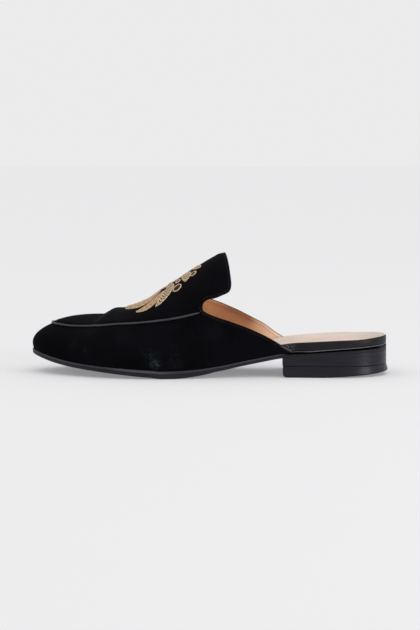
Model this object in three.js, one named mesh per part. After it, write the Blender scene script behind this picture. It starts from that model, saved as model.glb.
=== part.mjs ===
// A backless slip-on shoe (mule) with a raised tongue, for the left foot.
// Millimetres, +Z up. The toe points to -X and the shoe's outer (lateral) side faces -Y.
// "u" is the distance forward from the back of the sole, so x falls as u grows.
import * as THREE from "three";
import { mergeVertices } from "three/addons/utils/BufferGeometryUtils.js";

// Driving dimensions of the last and the bottom
const SOLE_LENGTH = 264;
const BALL_WIDTH = 88;
const WAIST_WIDTH = 60;
const SEAT_WIDTH = 60;
const HEEL_ROUND = 36; // length of the rounded back of the seat
const TOE_ROUND = 69; // length of the rounded toe
const TOE_SPRING = 13.8; // underside of the toe tip above the floor
const SEAT_LIFT = 18; // underside of the outsole above the floor, at the back
const VAMP_HEIGHT = 88.6; // top of the tongue above the floor

// Outsole, heel, rand and insole
const FOREPART_THICKNESS = 5.6;
const WAIST_THICKNESS = 3.4;
const EDGE_BEVEL = 0.9;
const BREAST = 76.8; // front face of the heel, from the back of the sole
const BREAST_HOLLOW = 2.5; // how far the middle of that face is cut back
const TOP_PIECE_HEIGHT = 8;
const HEEL_INSET = 0.1;
const HEEL_FLARE = 1.55; // how far the foot of the heel turns out, at the back
const FLARE_HEIGHT = 4; // the flare fades over about this height
const HEEL_ROLL = 2.9; // the top piece's rounded-off back, above the floor
const HEEL_ROLL_LENGTH = 48;
const RAND_HEIGHT = 5.7; // over a sole as thick as the waist
const RAND_THICKNESS = 1.5;
const RAND_INSET = 0.2;
const RAND_END = 92; // front ends of the rand, inside the upper
const TUCK_START = 51.6; // where rand and sock start to draw in under the upper
const TUCK_END = 67.6;
const SEAT_CUP = 1.3; // rise of the seat at its back
const SEAT_CUP_LENGTH = 24;
const INSOLE_FOREPART = 3.4;
const SOCK_THICKNESS = 0.6;
const SOCK_INSET = 0.7;

// Upper
const UPPER_WALL = 1.8;
const UPPER_INSET = 0.8; // outer foot of the upper, inside the outsole's edge
const UPPER_END = 69.1; // rear end of the upper's wings, from the back of the sole
const WING_TIP = 0.7; // height left at that end
const SEAM_STEP = 0.6; // the apron stands this proud, and the side lies as deep, at the seam
const SEAM_STEP_WIDTH = 0.9;
const SEAM_STEP_FADE = 8;
const SWELL_POWER = 6; // the higher it is, the lower down the wall stands out furthest
const CREST_TOE = 219; // foremost point of the crest, from the back of the sole
const CREST_FAN_START = 150; // ahead of this the profiles start to fan round the toe
const TONGUE_SKEW = 2.6; // the tongue's medial corner lies this much further forward
const PIPING_RADIUS = 0.95;

const CLEARANCE = 0.3; // left between pieces that touch

// Distances between the sections of a piece
const SOLE_PITCH = 7.5;
const HEEL_PITCH = 6;
const SEAT_PITCH = 5; // also the piping
const TONGUE_SPREAD = 40; // the seam step fades out behind the notch over this scale

// Half-widths of the sole as shares of the width named in the row
const OUTLINE = [
  { at: 0.0, width: SEAT_WIDTH, lateral: 0.5, medial: 0.5 },
  { at: 0.14, width: SEAT_WIDTH, lateral: 0.5, medial: 0.5 },
  { at: 0.28, width: SEAT_WIDTH, lateral: 0.49, medial: 0.475 },
  { at: 0.38, width: WAIST_WIDTH, lateral: 0.515, medial: 0.455 },
  { at: 0.44, width: BALL_WIDTH, lateral: 0.375, medial: 0.324 },
  { at: 0.5, width: BALL_WIDTH, lateral: 0.412, medial: 0.365 },
  { at: 0.55, width: BALL_WIDTH, lateral: 0.446, medial: 0.414 },
  { at: 0.6, width: BALL_WIDTH, lateral: 0.472, medial: 0.46 },
  { at: 0.67, width: BALL_WIDTH, lateral: 0.485, medial: 0.505 },
  { at: 0.74, width: BALL_WIDTH, lateral: 0.46, medial: 0.525 },
  { at: 0.83, width: BALL_WIDTH, lateral: 0.405, medial: 0.51 },
  { at: 1.0, width: BALL_WIDTH, lateral: 0.31, medial: 0.47 },
];

// Underside of the outsole above the floor, as shares of the height named in the row
const UNDERSIDE = [
  { at: 0.0, height: SEAT_LIFT, lift: 1.0 },
  { at: 0.106, height: SEAT_LIFT, lift: 0.978 },
  { at: 0.167, height: SEAT_LIFT, lift: 0.939 },
  { at: 0.231, height: SEAT_LIFT, lift: 0.878 },
  { at: 0.265, height: SEAT_LIFT, lift: 0.839 },
  { at: 0.2955, height: SEAT_LIFT, lift: 0.775 },
  { at: 0.341, height: SEAT_LIFT, lift: 0.646 },
  { at: 0.409, height: SEAT_LIFT, lift: 0.448 },
  { at: 0.4545, height: SEAT_LIFT, lift: 0.303 },
  { at: 0.477, height: SEAT_LIFT, lift: 0.244 },
  { at: 0.4905, height: SEAT_LIFT, lift: 0.19 },
  { at: 0.518, height: SEAT_LIFT, lift: 0.11 },
  { at: 0.5455, height: SEAT_LIFT, lift: 0.055 },
  { at: 0.572, height: SEAT_LIFT, lift: 0.015 },
  { at: 0.592, height: SEAT_LIFT, lift: 0.0 },
  { at: 0.62, height: TOE_SPRING, lift: 0.0 },
  { at: 0.655, height: TOE_SPRING, lift: 0.069 },
  { at: 0.682, height: TOE_SPRING, lift: 0.109 },
  { at: 0.727, height: TOE_SPRING, lift: 0.187 },
  { at: 0.765, height: TOE_SPRING, lift: 0.2555 },
  { at: 0.803, height: TOE_SPRING, lift: 0.326 },
  { at: 0.845, height: TOE_SPRING, lift: 0.409 },
  { at: 0.886, height: TOE_SPRING, lift: 0.507 },
  { at: 0.932, height: TOE_SPRING, lift: 0.667 },
  { at: 0.977, height: TOE_SPRING, lift: 0.884 },
  { at: 1.0, height: TOE_SPRING, lift: 1.0 },
];

// Thickness of the outsole as shares of the thickness named in the row
const THICKNESS = [
  { at: 0.0, full: WAIST_THICKNESS, share: 1.26 },
  { at: 0.064, full: WAIST_THICKNESS, share: 1.06 },
  { at: 0.11, full: WAIST_THICKNESS, share: 0.94 },
  { at: 0.17, full: WAIST_THICKNESS, share: 0.79 },
  { at: 0.22, full: WAIST_THICKNESS, share: 0.7 },
  { at: 0.254, full: WAIST_THICKNESS, share: 0.8 },
  { at: 0.3, full: WAIST_THICKNESS, share: 0.94 },
  { at: 0.354, full: WAIST_THICKNESS, share: 0.97 },
  { at: 0.4, full: WAIST_THICKNESS, share: 1.0 },
  { at: 0.463, full: FOREPART_THICKNESS, share: 0.634 },
  { at: 0.507, full: FOREPART_THICKNESS, share: 0.82 },
  { at: 0.55, full: FOREPART_THICKNESS, share: 0.946 },
  { at: 0.59, full: FOREPART_THICKNESS, share: 1.0 },
  { at: 0.64, full: FOREPART_THICKNESS, share: 0.946 },
  { at: 0.7, full: FOREPART_THICKNESS, share: 0.875 },
  { at: 0.75, full: FOREPART_THICKNESS, share: 0.795 },
  { at: 0.8, full: FOREPART_THICKNESS, share: 0.723 },
  { at: 0.86, full: FOREPART_THICKNESS, share: 0.679 },
  { at: 0.94, full: FOREPART_THICKNESS, share: 0.67 },
  { at: 1.0, full: FOREPART_THICKNESS, share: 0.607 },
];

// Crest line of the upper: height as a share of the vamp height, and its
// offset to the medial side as a share of the ball width
const CREST = [
  { at: 0.24, height: 1.05, aside: 0.03 },
  { at: 0.4, height: 1.03, aside: 0.035 },
  { at: 0.4545, height: 1.006, aside: 0.045 },
  { at: 0.4708, height: 0.996, aside: 0.045 },
  { at: 0.4826, height: 0.977, aside: 0.045 },
  { at: 0.5061, height: 0.937, aside: 0.045 },
  { at: 0.5295, height: 0.893, aside: 0.05 },
  { at: 0.5553, height: 0.843, aside: 0.05 },
  { at: 0.5958, height: 0.765, aside: 0.055 },
  { at: 0.6383, height: 0.68, aside: 0.055 },
  { at: 0.6667, height: 0.617, aside: 0.06 },
  { at: 0.7068, height: 0.561, aside: 0.06 },
  { at: 0.7273, height: 0.543, aside: 0.06 },
  { at: 0.7476, height: 0.537, aside: 0.06 },
  { at: 0.7765, height: 0.486, aside: 0.06 },
  { at: 0.8091, height: 0.485, aside: 0.065 },
  { at: 0.83, height: 0.481, aside: 0.07 },
];

// Cross-sections by their place along the edge of the upper, 1 being the toe
// tip: the profile's exponent, and how far the wall swells over the sole, in
// shares of the ball width
const SECTIONS = [
  { at: 0.22, fullness: 2.3, lateral: 0.004, medial: 0.004 },
  { at: 0.33, fullness: 2.25, lateral: 0.012, medial: 0.022 },
  { at: 0.44, fullness: 2.1, lateral: 0.018, medial: 0.034 },
  { at: 0.53, fullness: 2.05, lateral: 0.03, medial: 0.034 },
  { at: 0.66, fullness: 2.25, lateral: 0.032, medial: 0.03 },
  { at: 0.83, fullness: 2.1, lateral: 0.026, medial: 0.026 },
  { at: 1.0, fullness: 2.04, lateral: 0.024, medial: 0.024 },
];

// Height of the apron seam on each side as a share of the vamp height, from
// the notch to the toe tip
const SEAM = [
  { at: 0.4447, lateral: 0.552, medial: 0.605 },
  { at: 0.47, lateral: 0.528, medial: 0.576 },
  { at: 0.4918, lateral: 0.51, medial: 0.554 },
  { at: 0.5218, lateral: 0.49, medial: 0.527 },
  { at: 0.5517, lateral: 0.4745, medial: 0.506 },
  { at: 0.612, lateral: 0.4495, medial: 0.476 },
  { at: 0.667, lateral: 0.4352, medial: 0.456 },
  { at: 0.714, lateral: 0.4205, medial: 0.438 },
  { at: 0.76, lateral: 0.4085, medial: 0.42 },
  { at: 0.81, lateral: 0.405, medial: 0.413 },
  { at: 0.87, lateral: 0.409, medial: 0.412 },
  { at: 1.0, lateral: 0.417, medial: 0.417 },
];

// Top edge of the wings, seen from each side
const TOPLINE = [
  { at: 0.2618, lateral: 0.212, medial: 0.22 },
  { at: 0.268, lateral: 0.222, medial: 0.235 },
  { at: 0.2917, lateral: 0.26, medial: 0.275 },
  { at: 0.3091, lateral: 0.2915, medial: 0.305 },
  { at: 0.3439, lateral: 0.3495, medial: 0.382 },
  { at: 0.3818, lateral: 0.4015, medial: 0.443 },
  { at: 0.4095, lateral: 0.435, medial: 0.486 },
  { at: 0.4322, lateral: 0.459, medial: 0.517 },
  { at: 0.4553, lateral: 0.4825, medial: 0.547 },
  { at: 0.478, lateral: 0.506, medial: 0.573 },
  { at: 0.5008, lateral: 0.5345, medial: 0.596 },
  { at: 0.5111, lateral: 0.552, medial: 0.605 },
];

// Lower edge of the tongue, seen from the lateral side, from the notch back to its corner
const TONGUE = [
  { at: 0.0, u: 0.5111, height: 0.552 },
  { at: 0.08, u: 0.5121, height: 0.584 },
  { at: 0.16, u: 0.5106, height: 0.611 },
  { at: 0.27, u: 0.5011, height: 0.64 },
  { at: 0.45, u: 0.4784, height: 0.655 },
  { at: 0.65, u: 0.4557, height: 0.681 },
  { at: 0.8, u: 0.442, height: 0.7 },
  { at: 0.9, u: 0.4345, height: 0.73 },
  { at: 1.0, u: 0.4333, height: 0.77 },
];
const TONGUE_TOP = 0.4545; // place of the tongue's rear end on the crest

// Smooth curve through one column of a table, with no overshoot between rows
function through(table, column) {
  const places = table.map((row) => row.at);
  const values = table.map((row) => (typeof column === "string" ? row[column] : column(row)));
  const last = places.length - 1;
  const rise = places.slice(1).map((place, i) => (values[i + 1] - values[i]) / (place - places[i]));
  const slope = places.map((_, i) => {
    if (i === 0) return rise[0];
    if (i === last) return rise[last - 1];
    if (rise[i - 1] * rise[i] <= 0) return 0;
    return (2 * rise[i - 1] * rise[i]) / (rise[i - 1] + rise[i]);
  });
  return (at) => {
    let i = 0;
    while (i < last - 1 && at > places[i + 1]) i += 1;
    const span = places[i + 1] - places[i];
    const t = Math.min(1, Math.max(0, (at - places[i]) / span));
    const back = 1 - t;
    return (
      values[i] * back * back * (1 + 2 * t) +
      values[i + 1] * t * t * (3 - 2 * t) +
      span * t * back * (slope[i] * back - slope[i + 1] * t)
    );
  };
}

// Curves through a table's lateral and medial columns
const bothSides = (table, size) => ({
  lateral: through(table, (row) => row.lateral * size),
  medial: through(table, (row) => row.medial * size),
});
const sideOf = (s) => (s < 0 ? "lateral" : "medial");

const lateralHalf = through(OUTLINE, (row) => row.lateral * row.width);
const medialHalf = through(OUTLINE, (row) => row.medial * row.width);
const undersideLift = through(UNDERSIDE, (row) => row.lift * row.height);
const soleThickness = through(THICKNESS, (row) => row.share * row.full);
const crestHeight = through(CREST, (row) => row.height * VAMP_HEIGHT);
const crestAside = through(CREST, (row) => row.aside * BALL_WIDTH);
const fullness = through(SECTIONS, "fullness");
const swells = bothSides(SECTIONS, BALL_WIDTH);
const seamHeights = bothSides(SEAM, VAMP_HEIGHT);
const toplineHeights = bothSides(TOPLINE, VAMP_HEIGHT);
const tongueU = through(TONGUE, (row) => row.u * SOLE_LENGTH);
const tongueHeight = through(TONGUE, (row) => row.height * VAMP_HEIGHT);

const smoothStep = (t) => {
  const c = Math.min(1, Math.max(0, t));
  return c * c * (3 - 2 * c);
};
const steps = (from, to, count) => Array.from({ length: count + 1 }, (_, i) => from + ((to - from) * i) / count);

// The sole's edge is followed by "q", which equals u along the sides and runs
// on as arc length round the heel and the toe, and by "s", the way back from
// the toe tip, negative along the lateral side.
const TOE_START = SOLE_LENGTH - TOE_ROUND;
const TOE_Q = TOE_START + (TOE_ROUND * Math.PI) / 2;
const HEEL_Q = HEEL_ROUND - (HEEL_ROUND * Math.PI) / 2;
const EDGE_HALF = TOE_Q - HEEL_Q;

function rawEdge(s) {
  let way = s;
  if (way > EDGE_HALF) way -= 2 * EDGE_HALF;
  if (way < -EDGE_HALF) way += 2 * EDGE_HALF;
  const q = TOE_Q - Math.abs(way);
  let u = q;
  let cap = 1;
  if (q < HEEL_ROUND) {
    const turn = (HEEL_ROUND - q) / HEEL_ROUND;
    u = HEEL_ROUND * (1 - Math.sin(turn));
    cap = Math.cos(turn);
  }
  if (q > TOE_START) {
    const turn = (q - TOE_START) / TOE_ROUND;
    u = TOE_START + TOE_ROUND * Math.sin(turn);
    cap = Math.cos(turn);
  }
  const lateral = lateralHalf(u / SOLE_LENGTH);
  const medial = medialHalf(u / SOLE_LENGTH);
  const middle = (medial - lateral) / 2;
  const half = (medial + lateral) / 2;
  return new THREE.Vector2(-u, middle + Math.sign(way) * half * cap);
}

// Point of the sole's edge, drawn in by an inset
function edge(s, inset) {
  const reach = 0.4;
  const along = rawEdge(s + reach).sub(rawEdge(s - reach)).normalize();
  const inward = new THREE.Vector2(along.y, -along.x);
  return rawEdge(s).addScaledVector(inward, inset);
}

const underside = (x) => undersideLift(-x / SOLE_LENGTH);
const topside = (x) => underside(x) + soleThickness(-x / SOLE_LENGTH);

// Solids

// A closed mesh's geometry from loose triangles
function solid(triangles) {
  const positions = new Float32Array(triangles.flat().flatMap((p) => [p.x, p.y, p.z]));
  const loose = new THREE.BufferGeometry();
  loose.setAttribute("position", new THREE.BufferAttribute(positions, 3));
  const welded = mergeVertices(loose, 1e-3);
  const kept = [];
  const index = welded.index.array;
  for (let i = 0; i < index.length; i += 3) {
    const [a, b, c] = index.slice(i, i + 3);
    if (a !== b && b !== c && c !== a) kept.push(a, b, c);
  }
  welded.setIndex(kept);
  welded.computeVertexNormals();
  return welded;
}

function quad(triangles, a, b, c, d) {
  triangles.push([a, b, c], [a, c, d]);
}

// Loft through sections: each is a lower chain of points, and then as many
// points back along the upper chain. A pinched end needs no cap.
function loft(sections, pinchedFirst = false, pinchedLast = false) {
  const triangles = [];
  const count = sections[0].length;
  sections.slice(1).forEach((next, k) => {
    const here = sections[k];
    for (let i = 0; i < count; i += 1) {
      const j = (i + 1) % count;
      quad(triangles, here[i], next[i], next[j], here[j]);
    }
  });
  const cap = (section, flip) => {
    for (let i = 0; i + 1 < count / 2; i += 1) {
      const face = [section[i], section[i + 1], section[count - 2 - i], section[count - 1 - i]];
      quad(triangles, ...(flip ? face.reverse() : face));
    }
  };
  if (!pinchedFirst) cap(sections[0], false);
  if (!pinchedLast) cap(sections[sections.length - 1], true);
  return solid(triangles);
}

// Stations along the sole from the back towards the toe, shared between pieces
function stations(from, to, pitch) {
  const shared = [HEEL_ROUND, TUCK_START, TUCK_END, RAND_END, TOE_START];
  const marks = [from, ...shared, to].filter((q) => q >= from && q <= to);
  const knots = [...new Set(marks)].sort((a, b) => a - b);
  const found = knots.slice(1).flatMap((end, i) => {
    const begin = knots[i];
    const count = Math.max(1, Math.round((end - begin) / pitch));
    return steps(begin, end, count).slice(i ? 1 : 0);
  });
  return found;
}

// A plate that follows the sole's outline. Each level gives an inset and a
// height, from the lowest level up; the first and last are its faces.
function plate(qs, levels, columns, frontHollow = 0) {
  const across = steps(0, 1, columns);
  const pinched = (q) => Math.min(q - HEEL_Q, TOE_Q - q) < 1e-6;
  const sections = qs.map((q, k) => {
    const chain = ({ inset, height }) => {
      const gap = typeof inset === "function" ? inset(q) : inset;
      const outer = edge(q - TOE_Q, gap);
      const inner = pinched(q) ? outer : edge(TOE_Q - q, gap);
      return across.map((t) => {
        const p = outer.clone().lerp(inner, t);
        if (k === qs.length - 1) p.x += frontHollow * 4 * t * (1 - t);
        return new THREE.Vector3(p.x, p.y, height(p.x));
      });
    };
    const low = chain(levels[0]);
    const high = chain(levels[levels.length - 1]).reverse();
    const sides = levels.slice(1, -1).map(chain);
    const lateral = sides.map((points) => points[0]).reverse();
    const medial = sides.map((points) => points[columns]);
    // The upper chain repeats its ends, to be as long as the lower one with the sides
    return [
      ...lateral,
      ...low,
      ...medial,
      ...Array(sides.length).fill(high[0]),
      ...high,
      ...Array(sides.length).fill(high[columns]),
    ];
  });
  return loft(sections, pinched(qs[0]), pinched(qs[qs.length - 1]));
}

function outsole() {
  const qs = stations(HEEL_Q, TOE_Q, SOLE_PITCH);
  return plate(
    qs,
    [
      { inset: EDGE_BEVEL, height: underside },
      { inset: 0, height: (x) => underside(x) + EDGE_BEVEL },
      { inset: 0, height: (x) => topside(x) - EDGE_BEVEL / 2 },
      { inset: EDGE_BEVEL / 2, height: topside },
    ],
    2,
  );
}

// Heel

const heelStations = () => stations(HEEL_Q, BREAST, HEEL_PITCH);
const liftTop = (x) => underside(x) - CLEARANCE;
const rollAt = (x) => HEEL_ROLL * Math.max(0, 1 + x / HEEL_ROLL_LENGTH) ** 1.15;

// Inset of the heel's side at a height above its lower edge: the foot of the
// heel turns out, most at the back
const heelInset = (rise) => (q) => {
  const back = 0.2 + 0.8 * smoothStep((BREAST - q) / BREAST);
  return HEEL_INSET - HEEL_FLARE * back * Math.exp(-rise / FLARE_HEIGHT);
};

function heelTopPiece() {
  const lip = 0.7;
  return plate(
    heelStations(),
    [
      { inset: (q) => heelInset(0)(q) + lip, height: rollAt },
      { inset: heelInset(0), height: (x) => rollAt(x) + lip },
      { inset: heelInset(FLARE_HEIGHT), height: (x) => rollAt(x) + lip + 1.6 },
      { inset: heelInset(TOP_PIECE_HEIGHT), height: () => TOP_PIECE_HEIGHT },
    ],
    4,
    BREAST_HOLLOW,
  );
}

function heelLift() {
  const low = TOP_PIECE_HEIGHT + CLEARANCE;
  return plate(
    heelStations(),
    [
      { inset: heelInset(low), height: () => low },
      { inset: heelInset(SEAT_LIFT), height: liftTop },
    ],
    4,
    BREAST_HOLLOW,
  );
}

// Seat rand and insole

// Inset of a seat piece that draws in to pass inside the wings of the upper
const tucked = (inset, depth) => (q) => {
  const t = smoothStep((q - TUCK_START) / (TUCK_END - TUCK_START));
  return inset + (depth - inset) * t;
};
const insideUpper = UPPER_INSET + UPPER_WALL + CLEARANCE + 0.15;
const randInset = tucked(RAND_INSET, insideUpper);
const randTop = (x) => {
  const cup = SEAT_CUP * smoothStep(1 + x / SEAT_CUP_LENGTH);
  return underside(x) + WAIST_THICKNESS + CLEARANCE + RAND_HEIGHT + cup;
};

function seatRand() {
  const ways = stations(HEEL_Q, RAND_END, SEAT_PITCH).map((q) => TOE_Q - q);
  const round = [...ways.slice().reverse(), ...ways.slice(1).map((way) => 2 * EDGE_HALF - way)];
  const sections = round.map((s) => {
    const way = s > EDGE_HALF ? 2 * EDGE_HALF - s : s;
    const gap = randInset(TOE_Q - way);
    const { x } = edge(s, gap);
    const low = topside(x) + CLEARANCE;
    const high = randTop(x);
    const chamfer = 0.5;
    const put = (inset, height) => {
      const p = edge(s, gap + inset);
      return new THREE.Vector3(p.x, p.y, height);
    };
    return [
      put(0, low),
      put(RAND_THICKNESS / 2, low),
      put(RAND_THICKNESS, low),
      put(RAND_THICKNESS, high),
      put(chamfer, high),
      put(0, high - chamfer),
    ];
  });
  return loft(sections);
}

// The board fills the space inside the rand, and the sock over it covers the
// rand's top; ahead of the rand both end inside the upper
function insole() {
  const ahead = (q) => smoothStep((q - RAND_END) / 10);
  const bodyInset = (q) => {
    const behind = randInset(q) + RAND_THICKNESS + CLEARANCE;
    return behind + (insideUpper - behind) * ahead(q);
  };
  const sockInset = tucked(SOCK_INSET, insideUpper);
  const sockFoot = (x) => {
    const share = smoothStep((-x - RAND_END) / (SOLE_LENGTH / 3));
    const seat = randTop(x) + CLEARANCE;
    return seat + (topside(x) + INSOLE_FOREPART - SOCK_THICKNESS - seat) * share;
  };
  const soften = 0.35;
  return plate(
    stations(HEEL_Q, TOE_Q, SEAT_PITCH),
    [
      { inset: bodyInset, height: (x) => topside(x) + CLEARANCE },
      { inset: bodyInset, height: sockFoot },
      { inset: sockInset, height: sockFoot },
      { inset: sockInset, height: (x) => sockFoot(x) + SOCK_THICKNESS - soften },
      { inset: (q) => sockInset(q) + soften, height: (x) => sockFoot(x) + SOCK_THICKNESS },
    ],
    4,
  );
}

// Upper

// Foremost profiles meet the crest behind the toe tip, which fans them out
function crestU(q) {
  if (q < CREST_FAN_START) return q;
  const span = TOE_Q - CREST_FAN_START;
  const t = (q - CREST_FAN_START) / span;
  const back = 1 - t;
  const bend = t * t * (3 - 2 * t);
  return CREST_FAN_START * (1 - bend) + CREST_TOE * bend + span * t * back * back;
}

function crestPoint(q) {
  const u = crestU(q);
  const at = u / SOLE_LENGTH;
  return new THREE.Vector3(-u, crestAside(at), crestHeight(at));
}

function footPoint(s) {
  const p = edge(s, UPPER_INSET);
  return new THREE.Vector3(p.x, p.y, topside(p.x) + CLEARANCE);
}

// Outer face of the upper on the smooth last: "s" goes round the edge and
// "turn" up the profile, from 0 at the sole to a quarter turn at the crest
function lastPoint(s, turn) {
  const q = TOE_Q - Math.abs(s);
  const place = q / TOE_Q;
  const foot = footPoint(s);
  const crest = crestPoint(q);
  const power = 2 / fullness(place);
  const inward = 1 - Math.cos(turn) ** power;
  const up = Math.sin(turn) ** power;
  const peak = Math.atan(1 / Math.sqrt(SWELL_POWER));
  const bulge = (angle) => Math.sin(angle) * Math.cos(angle) ** SWELL_POWER;
  const swell = (swells[sideOf(s)](place) * bulge(turn)) / bulge(peak);
  const across = new THREE.Vector2(crest.x - foot.x, crest.y - foot.y);
  const way = inward * across.length() - swell;
  across.normalize();
  return new THREE.Vector3(
    foot.x + across.x * way,
    foot.y + across.y * way,
    foot.z + (crest.z - foot.z) * up,
  );
}

// Turn at which the profile reaches a height
function turnAt(s, height) {
  const q = TOE_Q - Math.abs(s);
  const foot = footPoint(s);
  const up = (height - foot.z) / (crestPoint(q).z - foot.z);
  const bounded = Math.min(1, Math.max(0, up));
  return Math.asin(bounded ** (fullness(q / TOE_Q) / 2));
}

function outward(s, turn) {
  if (turn > Math.PI / 2 - 1e-6) {
    // Along the crest the two sides share one direction
    const shy = Math.PI / 2 - 0.02;
    return outward(-Math.abs(s), shy).add(outward(Math.abs(s), shy)).normalize();
  }
  const reach = 0.4;
  const tilt = 0.004;
  const level = Math.min(turn, Math.PI / 2 - 0.01);
  const along = lastPoint(s + reach, level).sub(lastPoint(s - reach, level));
  const low = lastPoint(s, Math.max(0.0005, level - tilt));
  const rising = lastPoint(s, level + tilt).sub(low);
  return rising.cross(along).normalize();
}

// Outer and inner skin at one place. "past" is the distance beyond the seam
// towards the crest, or null where there is no seam.
function skin(s, turn, past) {
  const base = lastPoint(s, turn);
  const normal = outward(s, turn);
  let step = 0;
  if (past !== null) {
    const beyond = Math.abs(past <= 0 ? past : Math.max(0, past - SEAM_STEP_WIDTH));
    const toCrest = smoothStep((Math.PI / 2 - turn) / 0.3);
    step = SEAM_STEP * Math.exp(-beyond / SEAM_STEP_FADE) * (past <= 0 ? -1 : toCrest);
  }
  return {
    outer: base.clone().addScaledVector(normal, step),
    inner: base.clone().addScaledVector(normal, -UPPER_WALL),
  };
}

const NOTCH_Q = TONGUE[0].u * SOLE_LENGTH;
const seamTurn = (s) => turnAt(s, seamHeights[sideOf(s)]((TOE_Q - Math.abs(s)) / TOE_Q));
const profileLength = (s) => {
  const foot = footPoint(s);
  const crest = crestPoint(TOE_Q - Math.abs(s));
  return (Math.hypot(crest.x - foot.x, crest.y - foot.y) + crest.z - foot.z) * 0.79;
};

// Distance beyond the seam, which fades out behind the notch
function pastSeam(s, turn) {
  const q = TOE_Q - Math.abs(s);
  if (q < NOTCH_Q - 0.01) return null;
  return ((turn - seamTurn(s)) / (Math.PI / 2)) * profileLength(s);
}

// The side of the upper, from the toe tip back to the end of the wing: rows
// from the sole up to the seam, or to the topline behind the notch
function sidePatch(side, qs, rows) {
  return qs.map((q) => {
    const s = side * (TOE_Q - q);
    const foot = footPoint(s);
    const height = Math.max(toplineHeights[sideOf(s)](q / SOLE_LENGTH), foot.z + WING_TIP);
    const top = q >= NOTCH_Q ? seamTurn(s) : turnAt(s, height);
    return rows.map((t) => skin(s, top * t, pastSeam(s, top * t)));
  });
}

// The apron, from the toe tip back to the notch, and the tongue behind it
function apronPatch(side, qs, tongueSteps, rows) {
  const quarter = Math.PI / 2;
  const apron = qs.map((q) => {
    const s = side * (TOE_Q - q);
    const seam = seamTurn(s);
    const stepTurn = (SEAM_STEP_WIDTH / profileLength(s)) * quarter;
    return rows.map((t, i) => {
      if (i === 0) return skin(s, seam, pastSeam(s, seam));
      const turn = seam + stepTurn + (quarter - seam - stepTurn) * t;
      return skin(s, turn, Math.max(SEAM_STEP_WIDTH, pastSeam(s, turn)));
    });
  });
  const crestEnd = TONGUE_TOP * SOLE_LENGTH;
  const notch = side * (TOE_Q - NOTCH_Q);
  const notchStep = (SEAM_STEP_WIDTH / profileLength(notch)) * quarter;
  const tongue = tongueSteps.map((k) => {
    const edgeU = tongueU(k) + (side > 0 ? TONGUE_SKEW * smoothStep(k / 0.8) : 0);
    const endS = side * (TOE_Q - edgeU);
    const rise = (seamHeights[sideOf(side)](SEAM[0].at) - seamHeights.lateral(SEAM[0].at)) * (1 - k);
    const edgeTurn = turnAt(endS, tongueHeight(k) + rise);
    const crest = NOTCH_Q + (crestEnd - NOTCH_Q) * k;
    return rows.map((t, i) => {
      const spread = i === 0 ? 0 : notchStep * (1 - k) * (1 - t);
      const q = edgeU + (crest - edgeU) * t;
      const turn = edgeTurn + spread + (quarter - edgeTurn - spread) * t;
      const s = side * (TOE_Q - q);
      const beyond = i === 0 ? k : turn - edgeTurn + k;
      const past = SEAM_STEP_WIDTH + TONGUE_SPREAD * beyond;
      return skin(s, turn, past);
    });
  });
  return [...apron, ...tongue];
}

function upper() {
  const quarterRows = [0, 0.08, 0.2, 0.34, 0.5, 0.66, 0.83, 1];
  const sideRows = [0, 0.05, 0.14, 0.26, 0.42, 0.6, 0.8, 1];
  const foreparts = stations(NOTCH_Q, TOE_Q, SOLE_PITCH).reverse();
  const wings = steps(NOTCH_Q, UPPER_END, 11).slice(1);
  const tongueSteps = [0.05, 0.1, 0.15, 0.2, 0.35, 0.5, 0.65, 0.78, 0.9, 1];
  const triangles = [];
  for (const side of [-1, 1]) {
    const face = (a, b, c, d) => (side < 0 ? quad(triangles, a, b, c, d) : quad(triangles, d, c, b, a));
    const flank = sidePatch(side, [...foreparts, ...wings], sideRows);
    const apron = apronPatch(side, foreparts, tongueSteps, quarterRows);
    for (const patch of [flank, apron]) {
      for (let i = 0; i + 1 < patch.length; i += 1) {
        for (let j = 0; j + 1 < patch[i].length; j += 1) {
          const [a, b, c, d] = [patch[i][j], patch[i + 1][j], patch[i + 1][j + 1], patch[i][j + 1]];
          face(a.outer, b.outer, c.outer, d.outer);
          face(d.inner, c.inner, b.inner, a.inner);
        }
      }
    }
    // Cut edges, in order: under the side, up the wing's end, along its
    // topline to the notch, and round the tongue to the crest
    const topEdge = flank.map((row) => row[row.length - 1]);
    const rim = [
      ...flank.map((row) => row[0]),
      ...flank[flank.length - 1].slice(1),
      ...topEdge.slice(foreparts.length - 1, -1).reverse(),
      ...apron.slice(foreparts.length).map((row) => row[0]),
      ...apron[apron.length - 1].slice(1),
    ];
    for (let i = 0; i + 1 < rim.length; i += 1) {
      face(rim[i + 1].outer, rim[i].outer, rim[i].inner, rim[i + 1].inner);
    }
  }
  return solid(triangles);
}

// Piping: a round cord laid in the corner below the apron's step, from notch to notch
function apronPiping() {
  const qs = stations(NOTCH_Q + 1, TOE_Q, SEAT_PITCH);
  const ways = [...qs.map((q) => q - TOE_Q), ...qs.slice(0, -1).reverse().map((q) => TOE_Q - q)];
  const sides = 8;
  const below = PIPING_RADIUS * 0.75;
  const lift = PIPING_RADIUS + CLEARANCE - SEAM_STEP;
  const centreTurn = (s) => seamTurn(s) - (below / profileLength(s)) * (Math.PI / 2);
  const sections = ways.map((s) => {
    const turn = centreTurn(s);
    const normal = outward(s, turn);
    const along = lastPoint(s + 0.4, centreTurn(s + 0.4)).sub(lastPoint(s - 0.4, centreTurn(s - 0.4)));
    const across = along.normalize().cross(normal).normalize();
    const centre = lastPoint(s, turn).addScaledVector(normal, lift);
    return steps(0, sides - 1, sides - 1).map((i) => {
      const angle = ((i + 0.5) / sides) * 2 * Math.PI;
      return centre
        .clone()
        .addScaledVector(across, PIPING_RADIUS * Math.cos(angle))
        .addScaledVector(normal, PIPING_RADIUS * Math.sin(angle));
    });
  });
  return loft(sections);
}

// Assembly

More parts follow.
